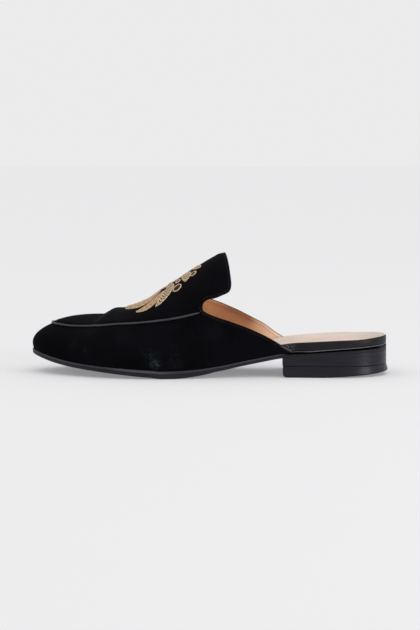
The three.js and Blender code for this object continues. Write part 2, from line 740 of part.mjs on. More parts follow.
const MATERIALS = {
  velvet: { color: 0x0b0b0e, roughness: 0.95, metalness: 0 },
  piping: { color: 0x2b2b2f, roughness: 0.5, metalness: 0 },
  soleEdge: { color: 0x2a2a2e, roughness: 0.55, metalness: 0 },
  heel: { color: 0x141418, roughness: 0.3, metalness: 0 },
  rand: { color: 0x1b1b1e, roughness: 0.45, metalness: 0 },
  tan: { color: 0xd2b193, roughness: 0.6, metalness: 0 },
};

const PIECES = [
  { name: "outsole", make: outsole, material: "soleEdge" },
  { name: "heel_top_piece", make: heelTopPiece, material: "heel" },
  { name: "heel_lift", make: heelLift, material: "heel" },
  { name: "seat_rand", make: seatRand, material: "rand" },
  { name: "insole", make: insole, material: "tan" },
  { name: "upper", make: upper, material: "velvet" },
  { name: "apron_piping", make: apronPiping, material: "piping" },
];

const shoe = new THREE.Group();
shoe.name = "mule_left";
for (const { name, make, material } of PIECES) {
  const mesh = new THREE.Mesh(make(), new THREE.MeshStandardMaterial(MATERIALS[material]));
  mesh.name = name;
  shoe.add(mesh);
}

// The origin is on the floor under the middle of the shoe
const box = new THREE.Box3().setFromObject(shoe);
const middle = box.getCenter(new THREE.Vector3());
shoe.position.set(-middle.x, -middle.y, 0);

export default shoe;
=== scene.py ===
import math

import bmesh
import bpy
import numpy as np
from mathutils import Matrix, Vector
from mathutils.bvhtree import BVHTree


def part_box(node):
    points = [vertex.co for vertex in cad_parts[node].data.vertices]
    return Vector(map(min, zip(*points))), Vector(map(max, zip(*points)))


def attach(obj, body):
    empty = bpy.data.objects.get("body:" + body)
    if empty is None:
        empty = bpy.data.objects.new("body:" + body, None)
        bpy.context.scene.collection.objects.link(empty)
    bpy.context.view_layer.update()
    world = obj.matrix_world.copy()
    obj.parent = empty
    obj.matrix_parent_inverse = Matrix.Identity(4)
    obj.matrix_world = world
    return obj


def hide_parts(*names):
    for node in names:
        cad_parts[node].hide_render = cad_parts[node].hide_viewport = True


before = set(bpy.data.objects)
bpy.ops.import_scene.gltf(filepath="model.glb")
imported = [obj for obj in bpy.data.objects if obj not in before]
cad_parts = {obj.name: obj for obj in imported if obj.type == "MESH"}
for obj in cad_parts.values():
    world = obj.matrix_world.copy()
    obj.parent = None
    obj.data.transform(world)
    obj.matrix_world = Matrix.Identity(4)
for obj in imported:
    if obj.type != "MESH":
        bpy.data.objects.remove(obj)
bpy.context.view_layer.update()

PI = math.pi
QUARTER = PI / 2
# Steps either side of a place, in mm and in turn, that give the tangents there
NEAR, NEAR_TURN = 0.4, 0.004

# Lengths are in mm until a mesh is made. "u" is the distance forward from the back of the sole.
SOLE_LENGTH, BALL_WIDTH, WAIST_WIDTH, SEAT_WIDTH = 264.0, 88.0, 60.0, 60.0
HEEL_ROUND, TOE_ROUND, TOE_SPRING, SEAT_LIFT, VAMP_HEIGHT = 36.0, 69.0, 13.8, 18.0, 88.6
FOREPART_THICKNESS, WAIST_THICKNESS = 5.6, 3.4
BREAST, BREAST_HOLLOW, TOP_PIECE_HEIGHT, HEEL_INSET = 76.8, 2.5, 8.0, 0.1
HEEL_FLARE, FLARE_HEIGHT, HEEL_ROLL, HEEL_ROLL_LENGTH = 1.55, 4.0, 2.9, 48.0
RAND_HEIGHT, RAND_THICKNESS, RAND_INSET, RAND_END = 5.7, 1.5, 0.2, 92.0
TUCK_START, TUCK_END, SEAT_CUP, SEAT_CUP_LENGTH = 51.6, 67.6, 1.3, 24.0
INSOLE_FOREPART, SOCK_INSET = 3.4, 0.7
UPPER_WALL, UPPER_INSET, UPPER_END, WING_TIP = 1.8, 0.8, 69.1, 0.7
SEAM_STEP, SEAM_STEP_WIDTH, SEAM_STEP_FADE, SWELL_POWER = 0.6, 0.9, 8.0, 6
CREST_TOE, CREST_FAN_START, TONGUE_SKEW, TONGUE_TOP = 219.0, 150.0, 2.6, 0.4545
PIPING_RADIUS, CLEARANCE, TONGUE_SPREAD = 0.95, 0.3, 40


def table(names, *rows):
    return dict(zip(names.split(), np.array(rows, float).T))


OUTLINE = table(
    "at width lateral medial",
    (0.0, SEAT_WIDTH, 0.5, 0.5), (0.14, SEAT_WIDTH, 0.5, 0.5), (0.28, SEAT_WIDTH, 0.49, 0.475),
    (0.38, WAIST_WIDTH, 0.515, 0.455), (0.44, BALL_WIDTH, 0.375, 0.324),
    (0.5, BALL_WIDTH, 0.412, 0.365), (0.55, BALL_WIDTH, 0.446, 0.414),
    (0.6, BALL_WIDTH, 0.472, 0.46), (0.67, BALL_WIDTH, 0.485, 0.505),
    (0.74, BALL_WIDTH, 0.46, 0.525), (0.83, BALL_WIDTH, 0.405, 0.51), (1.0, BALL_WIDTH, 0.31, 0.47),
)
# Shares of SEAT_LIFT behind the flat spot under the ball, and of TOE_SPRING ahead of it
UNDERSIDE = table(
    "at lift",
    (0.0, 1.0), (0.106, 0.978), (0.167, 0.939), (0.231, 0.878), (0.265, 0.839), (0.2955, 0.775),
    (0.341, 0.646), (0.409, 0.448), (0.4545, 0.303), (0.477, 0.244), (0.4905, 0.19), (0.518, 0.11),
    (0.5455, 0.055), (0.572, 0.015), (0.592, 0.0), (0.62, 0.0), (0.655, 0.069), (0.682, 0.109),
    (0.727, 0.187), (0.765, 0.2555), (0.803, 0.326), (0.845, 0.409), (0.886, 0.507), (0.932, 0.667),
    (0.977, 0.884), (1.0, 1.0),
)
# Shares of WAIST_THICKNESS behind WAIST_ENDS, and of FOREPART_THICKNESS ahead of it
THICKNESS = table(
    "at share",
    (0.0, 1.26), (0.064, 1.06), (0.11, 0.94), (0.17, 0.79), (0.22, 0.7), (0.254, 0.8), (0.3, 0.94),
    (0.354, 0.97), (0.4, 1.0), (0.463, 0.634), (0.507, 0.82), (0.55, 0.946), (0.59, 1.0),
    (0.64, 0.946), (0.7, 0.875), (0.75, 0.795), (0.8, 0.723), (0.86, 0.679), (0.94, 0.67),
    (1.0, 0.607),
)
FLAT_SPOT, WAIST_ENDS = 0.6, 0.43
CREST = table(
    "at height aside",
    (0.24, 1.05, 0.03), (0.4, 1.03, 0.035), (0.4545, 1.006, 0.045), (0.4708, 0.996, 0.045),
    (0.4826, 0.977, 0.045), (0.5061, 0.937, 0.045), (0.5295, 0.893, 0.05), (0.5553, 0.843, 0.05),
    (0.5958, 0.765, 0.055), (0.6383, 0.68, 0.055), (0.6667, 0.617, 0.06), (0.7068, 0.561, 0.06),
    (0.7273, 0.543, 0.06), (0.7476, 0.537, 0.06), (0.7765, 0.486, 0.06), (0.8091, 0.485, 0.065),
    (0.83, 0.481, 0.07),
)
SECTIONS = table(
    "at fullness lateral medial",
    (0.22, 2.3, 0.004, 0.004), (0.33, 2.25, 0.012, 0.022), (0.44, 2.1, 0.018, 0.034),
    (0.53, 2.05, 0.03, 0.034), (0.66, 2.25, 0.032, 0.03), (0.83, 2.1, 0.026, 0.026),
    (1.0, 2.04, 0.024, 0.024),
)
SEAM = table(
    "at lateral medial",
    (0.4447, 0.552, 0.605), (0.47, 0.528, 0.576), (0.4918, 0.51, 0.554), (0.5218, 0.49, 0.527),
    (0.5517, 0.4745, 0.506), (0.612, 0.4495, 0.476), (0.667, 0.4352, 0.456), (0.714, 0.4205, 0.438),
    (0.76, 0.4085, 0.42), (0.81, 0.405, 0.413), (0.87, 0.409, 0.412), (1.0, 0.417, 0.417),
)
TOPLINE = table(
    "at lateral medial",
    (0.2618, 0.212, 0.22), (0.268, 0.222, 0.235), (0.2917, 0.26, 0.275), (0.3091, 0.2915, 0.305),
    (0.3439, 0.3495, 0.382), (0.3818, 0.4015, 0.443), (0.4095, 0.435, 0.486),
    (0.4322, 0.459, 0.517), (0.4553, 0.4825, 0.547), (0.478, 0.506, 0.573), (0.5008, 0.5345, 0.596),
    (0.5111, 0.552, 0.605),
)
TONGUE = table(
    "at u height",
    (0.0, 0.5111, 0.552), (0.08, 0.5121, 0.584), (0.16, 0.5106, 0.611), (0.27, 0.5011, 0.64),
    (0.45, 0.4784, 0.655), (0.65, 0.4557, 0.681), (0.8, 0.442, 0.7), (0.9, 0.4345, 0.73),
    (1.0, 0.4333, 0.77),
)
# Creases of the velvet: place on the crest, how far down the profile (in turn) and how much
# further forward each one runs, its depth (a ridge is positive) and half-width, and its sides
CREASES = table(
    "u top reach lean depth width side",
    (206.5, 0.0, 0.75, 5.0, -0.3, 3.2, 0),
    (198.5, 0.0, 0.7, 5.0, 0.4, 2.8, 0),
    (193.5, 0.0, 0.6, 4.0, -0.3, 2.8, 0),
    (186.0, 0.35, 0.75, 6.0, -0.22, 2.8, 0),
    (213.0, 0.5, 1.0, -2.0, -0.25, 3.2, -1),
    (176.0, 0.75, 1.15, 4.0, -0.25, 3.6, -1),
    (165.0, 0.7, 1.2, 3.0, -0.22, 4.0, 0),
    (150.0, 0.3, 0.75, -4.0, -0.2, 3.5, -1),
)


def curve(places, values):
    """Smooth curve through a table, with no overshoot between rows."""
    rise = np.diff(values) / np.diff(places)
    slope = np.concatenate([rise[:1], np.zeros(len(places) - 2), rise[-1:]])
    for i in range(1, len(places) - 1):
        if rise[i - 1] * rise[i] > 0:
            slope[i] = 2 * rise[i - 1] * rise[i] / (rise[i - 1] + rise[i])

    def at(x):
        i = np.clip(np.searchsorted(places, x) - 1, 0, len(places) - 2)
        span = places[i + 1] - places[i]
        t = np.clip((x - places[i]) / span, 0, 1)
        back = 1 - t
        ends = values[i] * back * back * (1 + 2 * t) + values[i + 1] * t * t * (3 - 2 * t)
        return ends + span * t * back * (slope[i] * back - slope[i + 1] * t)

    return at


def both_sides(rows, size):
    lateral = curve(rows["at"], rows["lateral"] * size)
    medial = curve(rows["at"], rows["medial"] * size)
    return lambda s, at: np.where(s < 0, lateral(at), medial(at))


half_widths = both_sides(OUTLINE, OUTLINE["width"])
full_lift = np.where(UNDERSIDE["at"] < FLAT_SPOT, SEAT_LIFT, TOE_SPRING)
underside_lift = curve(UNDERSIDE["at"], UNDERSIDE["lift"] * full_lift)
full_thickness = np.where(THICKNESS["at"] < WAIST_ENDS, WAIST_THICKNESS, FOREPART_THICKNESS)
sole_thickness = curve(THICKNESS["at"], THICKNESS["share"] * full_thickness)
crest_height = curve(CREST["at"], CREST["height"] * VAMP_HEIGHT)
crest_aside = curve(CREST["at"], CREST["aside"] * BALL_WIDTH)
fullness = curve(SECTIONS["at"], SECTIONS["fullness"])
swells = both_sides(SECTIONS, BALL_WIDTH)
seam_height = both_sides(SEAM, VAMP_HEIGHT)
topline_height = both_sides(TOPLINE, VAMP_HEIGHT)
tongue_u = curve(TONGUE["at"], TONGUE["u"] * SOLE_LENGTH)
tongue_height = curve(TONGUE["at"], TONGUE["height"] * VAMP_HEIGHT)


def smooth(t):
    c = np.clip(t, 0, 1)
    return c * c * (3 - 2 * c)


def unit(v):
    return v / np.maximum(np.linalg.norm(v, axis=-1, keepdims=True), 1e-12)


def stack(*parts):
    return np.stack(np.broadcast_arrays(*parts), axis=-1)


def paired(*parts):
    return np.broadcast_arrays(*(np.asarray(part, float) for part in parts))


def travelled(points):
    """Distance along a path, at each of its points."""
    return np.concatenate([[0], np.cumsum(np.linalg.norm(np.diff(points, axis=0), axis=1))])


def resampled(at, way, rows):
    return np.stack([np.interp(at, way, column) for column in rows.T], -1)


def capped(net):
    """A swept net with each end closed to its middle."""
    ends = [np.repeat(ring.mean(axis=0)[None, None], len(ring), 1) for ring in (net[0], net[-1])]
    return np.concatenate([ends[0], net, ends[1]])


def over(base, more):
    return lambda x: base(x) + more


# The edge of the sole

TOE_START = SOLE_LENGTH - TOE_ROUND
TOE_Q = TOE_START + TOE_ROUND * QUARTER
HEEL_Q = HEEL_ROUND - HEEL_ROUND * QUARTER
EDGE_HALF = TOE_Q - HEEL_Q


def raw_edge(s):
    way = np.where(s > EDGE_HALF, s - 2 * EDGE_HALF, s)
    way = np.where(way < -EDGE_HALF, way + 2 * EDGE_HALF, way)
    q = TOE_Q - np.abs(way)
    heel = np.clip((HEEL_ROUND - q) / HEEL_ROUND, 0, None)
    toe = np.clip((q - TOE_START) / TOE_ROUND, 0, None)
    u = np.where(heel > 0, HEEL_ROUND * (1 - np.sin(heel)), q)
    u = np.where(toe > 0, TOE_START + TOE_ROUND * np.sin(toe), u)
    lateral = half_widths(-1, u / SOLE_LENGTH)
    medial = half_widths(1, u / SOLE_LENGTH)
    reach = np.sign(way) * np.cos(heel) * np.cos(toe)
    return stack(-u, (medial - lateral) / 2 + (medial + lateral) / 2 * reach)


def edge(s, inset):
    along = unit(raw_edge(s + NEAR) - raw_edge(s - NEAR))
    inward = stack(along[..., 1], -along[..., 0])
    return raw_edge(s) + inward * np.asarray(inset)[..., None]


def underside(x):
    return underside_lift(-x / SOLE_LENGTH)


def topside(x):
    return underside(x) + sole_thickness(-x / SOLE_LENGTH)


# The last: "s" runs round the edge from the toe tip, negative along the lateral side, and "turn"
# runs up the profile from the sole to a quarter turn at the crest


def crest_u(q):
    span = TOE_Q - CREST_FAN_START
    t = np.clip((q - CREST_FAN_START) / span, 0, 1)
    bend = t * t * (3 - 2 * t)
    fanned = CREST_FAN_START * (1 - bend) + CREST_TOE * bend + span * t * (1 - t) ** 2
    return np.where(q < CREST_FAN_START, q, fanned)


def crest_point(q):
    u = crest_u(q)
    return stack(-u, crest_aside(u / SOLE_LENGTH), crest_height(u / SOLE_LENGTH))


def foot_point(s):
    p = edge(s, UPPER_INSET)
    return stack(p[..., 0], p[..., 1], topside(p[..., 0]) + CLEARANCE)


def last_point(s, turn):
    s, turn = paired(s, turn)
    q = TOE_Q - np.abs(s)
    foot = foot_point(s)
    crest = crest_point(q)
    power = 2 / fullness(q / TOE_Q)
    inward = 1 - np.cos(turn) ** power
    up = np.sin(turn) ** power
    peak = math.atan(1 / math.sqrt(SWELL_POWER))
    full = math.sin(peak) * math.cos(peak) ** SWELL_POWER
    bulge = np.sin(turn) * np.cos(turn) ** SWELL_POWER / full
    across = crest[..., :2] - foot[..., :2]
    width = np.linalg.norm(across, axis=-1)
    way = inward * width - swells(s, q / TOE_Q) * bulge
    flat = foot[..., :2] + across / width[..., None] * way[..., None]
    return stack(flat[..., 0], flat[..., 1], foot[..., 2] + (crest[..., 2] - foot[..., 2]) * up)


def turn_at(s, height):
    q = TOE_Q - np.abs(s)
    foot = foot_point(s)[..., 2]
    up = np.clip((height - foot) / (crest_point(q)[..., 2] - foot), 0, 1)
    return np.arcsin(up ** (fullness(q / TOE_Q) / 2))


def tilted(s, level):
    along = last_point(s + NEAR, level) - last_point(s - NEAR, level)
    lower = np.maximum(0.0005, level - NEAR_TURN)
    rising = last_point(s, level + NEAR_TURN) - last_point(s, lower)
    return unit(np.cross(rising, along))


CREST_BLEND = 0.1  # both sides share one normal within this turn of the crest


def outward(s, turn):
    s, turn = paired(s, turn)
    own = tilted(s, np.minimum(turn, QUARTER - 0.01))
    shy = np.full(s.shape, QUARTER - 0.02)
    shared = unit(tilted(-np.abs(s), shy) + tilted(np.abs(s), shy))
    share = smooth((turn - (QUARTER - CREST_BLEND)) / CREST_BLEND)[..., None]
    return unit(own * (1 - share) + shared * share)


NOTCH_Q = TONGUE["u"][0] * SOLE_LENGTH


def wing_turn(s, u):
    """Turn of the wing's top line, which stays a little above the sole at its end."""
    height = np.maximum(topline_height(s, u / SOLE_LENGTH), foot_point(s)[..., 2] + WING_TIP)
    return turn_at(s, height)


def seam_turn(s):
    q = np.maximum(TOE_Q - np.abs(s), NOTCH_Q)
    return turn_at(s, seam_height(s, q / TOE_Q))


CURVE_SHARE = 0.79  # length of the rounded profile as a share of its run and its rise


def profile_length(s):
    foot = foot_point(s)
    crest = crest_point(TOE_Q - np.abs(s))
    flat = np.hypot(crest[..., 0] - foot[..., 0], crest[..., 1] - foot[..., 1])
    return (flat + crest[..., 2] - foot[..., 2]) * CURVE_SHARE


Q_GRID = np.linspace(100, TOE_Q, 400)
CREASE_Q = np.interp(CREASES["u"], crest_u(Q_GRID), Q_GRID)
FADE_IN, FADE_OUT = 0.18, 0.22  # turn over which a crease of the side starts and ends


def creases(s, turn):
    """Soft troughs and ridges that wear left in the velvet, along the normal."""
    s, turn = paired(s, turn)
    down = QUARTER - turn
    total = np.zeros(s.shape)
    for i in range(len(CREASE_Q)):
        row = {name: column[i] for name, column in CREASES.items()}
        middle = CREASE_Q[i] + row["lean"] * down
        off = (TOE_Q - np.abs(s) - middle) / row["width"]
        if row["top"] > 0:
            fade = smooth((down - row["top"]) / FADE_IN) * smooth((row["reach"] - down) / FADE_OUT)
        else:
            fade = smooth((row["reach"] - down) / row["reach"])
        if row["side"] < 0:
            fade = fade * (s < 0)
        total += row["depth"] * fade * np.exp(-off * off)
    return total


CREASED_DEPTH = 0.5  # faces deeper than this are smooth
INNER_STEP = 0.25  # share of the seam's step that shows on the inner faces


def wrap(s, turn, step, depth):
    """Point of the upper at a depth below its outer face, which stands off the last by a step."""
    s, turn = paired(s, turn)
    lift = step if depth == 0 else -depth + np.maximum(step, 0) * INNER_STEP
    if depth < CREASED_DEPTH:
        lift = lift + creases(s, turn)
    return last_point(s, turn) + outward(s, turn) * np.asarray(lift)[..., None]


NOTCH_FADE, CREST_FADE = 9, 0.3  # the seam's step fades towards the notch and the crest


def side_net(side, qs, rows, below=0.0):
    """Places of the side panel, from the toe tip back to the wing's end and from the sole up."""
    s = side * (TOE_Q - qs)
    q = qs[:, None]
    top = np.where(qs >= NOTCH_Q, seam_turn(s), wing_turn(s, qs))
    room = (below / profile_length(s)) * QUARTER * (qs < NOTCH_Q)
    turn = np.maximum(top - room, 0.01)[:, None] * rows[None, :]
    past = (turn - top[:, None]) / QUARTER * profile_length(s)[:, None]
    fade = smooth((q - (NOTCH_Q - NOTCH_FADE)) / NOTCH_FADE)
    step = -SEAM_STEP * np.exp(past / SEAM_STEP_FADE) * fade
    return s[:, None] + 0 * turn, turn, step


def apron_step(turn, past):
    return SEAM_STEP * np.exp(-past / SEAM_STEP_FADE) * smooth((QUARTER - turn) / CREST_FADE)


def apron_net(side, qs, ks, rows, back=0.0):
    """Places of the apron from the toe tip back to the notch, and of the tongue behind it."""
    s = side * (TOE_Q - qs)
    seam = seam_turn(s)
    gap = (SEAM_STEP_WIDTH / profile_length(s)) * QUARTER
    turn = (seam + gap)[:, None] + (QUARTER - seam - gap)[:, None] * rows[None, :]
    past = (turn - (seam + gap)[:, None]) / QUARTER * profile_length(s)[:, None]
    turn[:, 0] = seam
    step = apron_step(turn, past)
    step[:, 0] = -SEAM_STEP
    front = (s[:, None] + 0 * turn, turn, step)
    edge_u = tongue_u(ks) + (side > 0) * TONGUE_SKEW * smooth(ks / 0.8)
    end_s = side * (TOE_Q - edge_u)
    own_seam, near_seam = (seam_height(np.array(way), SEAM["at"][0]) for way in (side, -1))
    edge_turn = turn_at(end_s, tongue_height(ks) + (own_seam - near_seam) * (1 - ks))
    crest = NOTCH_Q + (TONGUE_TOP * SOLE_LENGTH + back - NOTCH_Q) * ks
    q = edge_u[:, None] + (crest - edge_u)[:, None] * rows[None, :]
    spread = gap[-1] * (1 - ks[:, None]) * (1 - rows[None, :])
    spread[:, 0] = 0
    turn = edge_turn[:, None] + spread + (QUARTER - edge_turn[:, None] - spread) * rows[None, :]
    past = (turn - edge_turn[:, None]) * TONGUE_SPREAD + TONGUE_SPREAD * ks[:, None]
    step = apron_step(turn, past)
    step[:, 0] = step[:, 0] * smooth(ks / 0.05) - SEAM_STEP * (1 - smooth(ks / 0.05))
    rear = (side * (TOE_Q - q), turn, step)
    return [np.concatenate(pair) for pair in zip(front, rear)]


# Meshes

outsole_low, outsole_high = (np.array(corner) * 1000 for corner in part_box("outsole"))
edge_way = raw_edge(np.linspace(-EDGE_HALF, EDGE_HALF, 2400))
MOVE = np.array([
    outsole_high[0],
    (outsole_low[1] + outsole_high[1] - edge_way[:, 1].min() - edge_way[:, 1].max()) / 2,
    0.0,
])
WELD = 2e-6  # metres
PLATE_PITCH, HOLLOW_REACH = 2.0, 26


def add(name, data):
    thing = bpy.data.objects.new(name, data)
    bpy.context.scene.collection.objects.link(thing)
    return thing


class Shape:
    """Collects grids of points in mm, and turns them into one welded mesh."""

    def __init__(self):
        self.points, self.faces, self.uvs, self.slots = [], [], [], []
        self.count = 0

    def grid(self, net, uv=None, slot=0, closed=False):
        net = np.asarray(net, float)
        rows, cols = net.shape[:2]
        self.points.append(net.reshape(-1, 3))
        index = np.arange(rows * cols).reshape(rows, cols) + self.count
        if closed:
            index = np.concatenate([index, index[:, :1]], axis=1)
        corners = (index[:-1, :-1], index[1:, :-1], index[1:, 1:], index[:-1, 1:])
        quads = np.stack(corners, -1).reshape(-1, 4)
        self.faces.append(quads)
        self.slots += [slot] * len(quads)
        if uv is None:
            uv = np.zeros((rows, cols, 2))
        self.uvs.append(np.asarray(uv, float).reshape(-1, 2))
        self.count += rows * cols

    def make(self, name, materials, replaces=(), slot="velvet", *, sharp):
        points = (np.concatenate(self.points) + MOVE) / 1000
        faces = np.concatenate(self.faces)
        uvs = np.concatenate(self.uvs)
        mesh = bpy.data.meshes.new(name)
        mesh.from_pydata(points.tolist(), [], faces.tolist())
        mesh.polygons.foreach_set("material_index", self.slots)
        layer = mesh.uv_layers.new(name="UVMap")
        layer.data.foreach_set("uv", uvs[faces.reshape(-1)].reshape(-1))
        work = bmesh.new()
        work.from_mesh(mesh)
        bmesh.ops.remove_doubles(work, verts=work.verts, dist=WELD)
        bmesh.ops.dissolve_degenerate(work, edges=work.edges, dist=WELD)
        bmesh.ops.recalc_face_normals(work, faces=work.faces)
        work.to_mesh(mesh)
        work.free()
        mesh.polygons.foreach_set("use_smooth", [True] * len(mesh.polygons))
        mesh.set_sharp_from_angle(angle=math.radians(sharp))
        for material in materials:
            mesh.materials.append(material)
        piece = add(name, mesh)
        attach(piece, "root")
        if replaces:
            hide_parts(*replaces)
        return piece


def stations(start, end, pitch):
    """Places from start to end at a pitch, with one at each change of the form."""
    changes = (start, HEEL_ROUND, TUCK_START, TUCK_END, RAND_END, TOE_START, end)
    marks = sorted({m for m in changes if start <= m <= end})
    found = [np.array([start])]
    for begin, finish in zip(marks, marks[1:]):
        count = max(1, round((finish - begin) / pitch))
        found.append(np.linspace(begin, finish, count + 1)[1:])
    return np.concatenate(found)


def plate(end, levels, columns=12, hollow=0.0, slots=None):
    """A plate that follows the sole's outline; each level gives an inset and a height, and, where
    its front end is drawn back, how far."""
    qs = stations(HEEL_Q, end, PLATE_PITCH)
    across = np.linspace(0, 1, columns + 1)

    def chain(inset, height, drawn=0):
        own = HEEL_Q + (qs - HEEL_Q) * (end - drawn - HEEL_Q) / (end - HEEL_Q)
        gap = inset(own)
        lateral = edge(own - TOE_Q, gap)
        medial = edge(TOE_Q - own, gap)
        for i, q in enumerate(own):
            if min(q - HEEL_Q, TOE_Q - q) < 1e-6:
                medial[i] = lateral[i]
        flat = lateral[:, None] + (medial - lateral)[:, None] * across[None, :, None]
        if hollow:
            share = smooth((own - (end - HOLLOW_REACH)) / HOLLOW_REACH)[:, None]
            flat[..., 0] += hollow * 4 * (across * (1 - across))[None, :] * share
        rises = np.broadcast_to(height(flat[..., 0]), flat.shape[:2])
        return stack(flat[..., 0], flat[..., 1], rises)

    chains = [chain(*level) for level in levels]
    slots = slots or [0] * len(levels)
    shape = Shape()
    shape.grid(chains[0], slot=slots[0])
    shape.grid(chains[-1], slot=slots[-1])
    for low, high, slot in zip(chains, chains[1:], slots):
        for column in (0, -1):
            shape.grid(np.stack([low[:, column], high[:, column]]), slot=slot)
    if end < TOE_Q - 1:
        shape.grid(np.stack([net[-1] for net in chains]), slot=slots[0])
    return shape


def tube(shape, path, normals, radius, sides):
    """A cord along a path; a radius may be given for each point, and its ends are closed."""
    path = np.asarray(path, float)
    along = unit(np.gradient(path, axis=0))
    across = unit(np.cross(along, normals))
    up = unit(np.cross(across, along))
    radius = np.broadcast_to(np.asarray(radius, float), (len(path),))
    angle = np.arange(sides) / sides * 2 * PI
    ring = across[:, None] * np.cos(angle)[None, :, None] + up[:, None] * np.sin(angle)[None, :, None]
    net = path[:, None] + ring * radius[:, None, None]
    start = np.repeat(path[:1, None], sides, 1)
    finish = np.repeat(path[-1:, None], sides, 1)
    net = np.concatenate([start, net, finish])
    length = travelled(path)
    length = np.concatenate([length[:1], length, length[-1:]])
    uv = stack(length[:, None], np.arange(sides)[None, :] / sides)
    shape.grid(net, uv, closed=True)


# Materials


def linear(r, g, b):
    """A colour of 0 to 255 as the linear values that a shader takes."""
    parts = [c / 255 / 12.92 if c <= 10 else ((c / 255 + 0.055) / 1.055) ** 2.4 for c in (r, g, b)]
    return parts + [1.0]


class Finish:
    """A material's node tree, with short calls for the nodes that these finishes share."""

    def __init__(self, name, roughness, specular):
        self.material = bpy.data.materials.new(name)
        self.material.use_nodes = True
        self.nodes = self.material.node_tree.nodes
        self.links = self.material.node_tree.links
        self.shader = next(n for n in self.nodes if n.type == "BSDF_PRINCIPLED")
        self.put("Roughness", roughness)
        self.put("Specular IOR Level", specular)
        self.place = self.node("TexCoord")
        self.bump = None

    def node(self, kind, **inputs):
        node = self.nodes.new("ShaderNode" + kind)
        for key, value in inputs.items():
            node.inputs[key.replace("_", " ")].default_value = value
        return node

    def put(self, key, value):
        self.shader.inputs[key].default_value = value

    def link(self, source, target):
        self.links.new(source, target)

    def mapped(self, scale, coords="Object"):
        node = self.node("Mapping", Scale=scale)
        self.link(self.place.outputs[coords], node.inputs["Vector"])
        return node.outputs["Vector"]

    def noise(self, scale, detail=3.0, roughness=0.55, vector=None):
        node = self.node("TexNoise", Scale=scale, Detail=detail, Roughness=roughness)
        self.link(vector or self.place.outputs["Object"], node.inputs["Vector"])
        return node.outputs["Fac"]

    def wave(self, scale, vector, distortion):
        node = self.node("TexWave", Scale=scale, Distortion=distortion)
        self.link(vector, node.inputs["Vector"])
        return node.outputs["Fac"]

    def span(self, value, low, high, start=0.0, end=1.0):
        node = self.node("MapRange", From_Min=low, From_Max=high, To_Min=start, To_Max=end)
        node.interpolation_type = "SMOOTHSTEP"
        self.link(value, node.inputs["Value"])
        return node.outputs["Result"]

    def math(self, kind, a, b):
        node = self.node("Math")
        node.operation = kind
        for socket, value in zip(node.inputs, (a, b)):
            if isinstance(value, (int, float)):
                socket.default_value = value
            else:
                self.link(value, socket)
        return node.outputs[0]

    def mix(self, share, a, b):
        """Mixes two tones; a tuple is a colour of 0 to 255, and a list is one in linear values."""
        node = self.node("Mix")
        node.data_type = "RGBA"
        self.link(share, node.inputs["Factor"])
        sockets = [s for s in node.inputs if s.type == "RGBA"]
        for socket, value in zip(sockets, (a, b)):
            if isinstance(value, tuple):
                socket.default_value = linear(*value)
            elif isinstance(value, list):
                socket.default_value = value
            else:
                self.link(value, socket)
        return next(s for s in node.outputs if s.type == "RGBA")

    def along_shoe(self, low, high, start=0.0, end=1.0):
        """Goes from start to end between two places along the shoe, given in metres."""
        split = self.node("SeparateXYZ")
        self.link(self.place.outputs["Object"], split.inputs[0])
        return self.span(split.outputs["X"], low, high, start, end)

    def near(self, centre, radius, softness):
        """1 close to a place on the shoe, given in mm of the frame, and 0 beyond a radius."""
        node = self.node("VectorMath")
        node.operation = "DISTANCE"
        node.inputs[1].default_value = [c / 1000 for c in centre]
        self.link(self.place.outputs["Object"], node.inputs[0])
        inner, outer = (radius - softness) / 1000, (radius + softness) / 1000
        return self.span(node.outputs["Value"], inner, outer, 1.0, 0.0)

    def colour(self, value):
        self.link(value, self.shader.inputs["Base Color"])

    def rough(self, value):
        self.link(value, self.shader.inputs["Roughness"])

    def raise_by(self, value, distance, strength=1.0):
        node = self.node("Bump", Distance=distance / 1000, Strength=strength)
        self.link(value, node.inputs["Height"])
        if self.bump:
            self.link(self.bump, node.inputs["Normal"])
        self.bump = node.outputs["Normal"]
        self.link(self.bump, self.shader.inputs["Normal"])


def velvet():
    look = Finish("velvet", roughness=0.85, specular=0.03)
    look.put("Sheen Weight", 0.006)
    look.put("Sheen Roughness", 0.55)
    look.put("Sheen Tint", (0.78, 0.8, 1.0, 1.0))
    patches = look.noise(26, detail=4, roughness=0.6)
    nap = look.noise(1500, detail=2)
    blue = look.span(look.noise(48, detail=3, roughness=0.5), 0.5, 0.72, 0.0, 0.7)
    toe = look.along_shoe(-0.118, -0.085, 1.0, 0.0)
    tone = look.mix(look.span(patches, 0.3, 0.7), (3, 2, 4), (9, 8, 12))
    tone = look.mix(blue, tone, (6, 8, 15))
    tone = look.mix(toe, tone, (2, 2, 3))
    speckle = look.span(look.noise(880, 5, 0.7), 0.45, 0.62)
    smear = look.noise(120, 4, 0.6, look.mapped((0.35, 1, 1)))
    for centre, radius, softness, share, shade in SCUFFS:
        spots = look.math("MULTIPLY", speckle, share)
        mark = look.math("MULTIPLY", look.near(centre, radius, softness), spots)
        mark = look.math("MULTIPLY", mark, look.span(smear, 0.38, 0.58, 0.35, 1.0))
        tone = look.mix(mark, tone, shade)
    fibres = look.mix(look.span(nap, 0.42, 0.7), tone, (17, 16, 21))
    look.colour(look.mix(look.span(nap, 0.2, 1.2, 0.0, 0.6), tone, fibres))
    look.raise_by(patches, 0.25, 0.5)
    look.raise_by(nap, 0.12, 0.6)
    return look.material


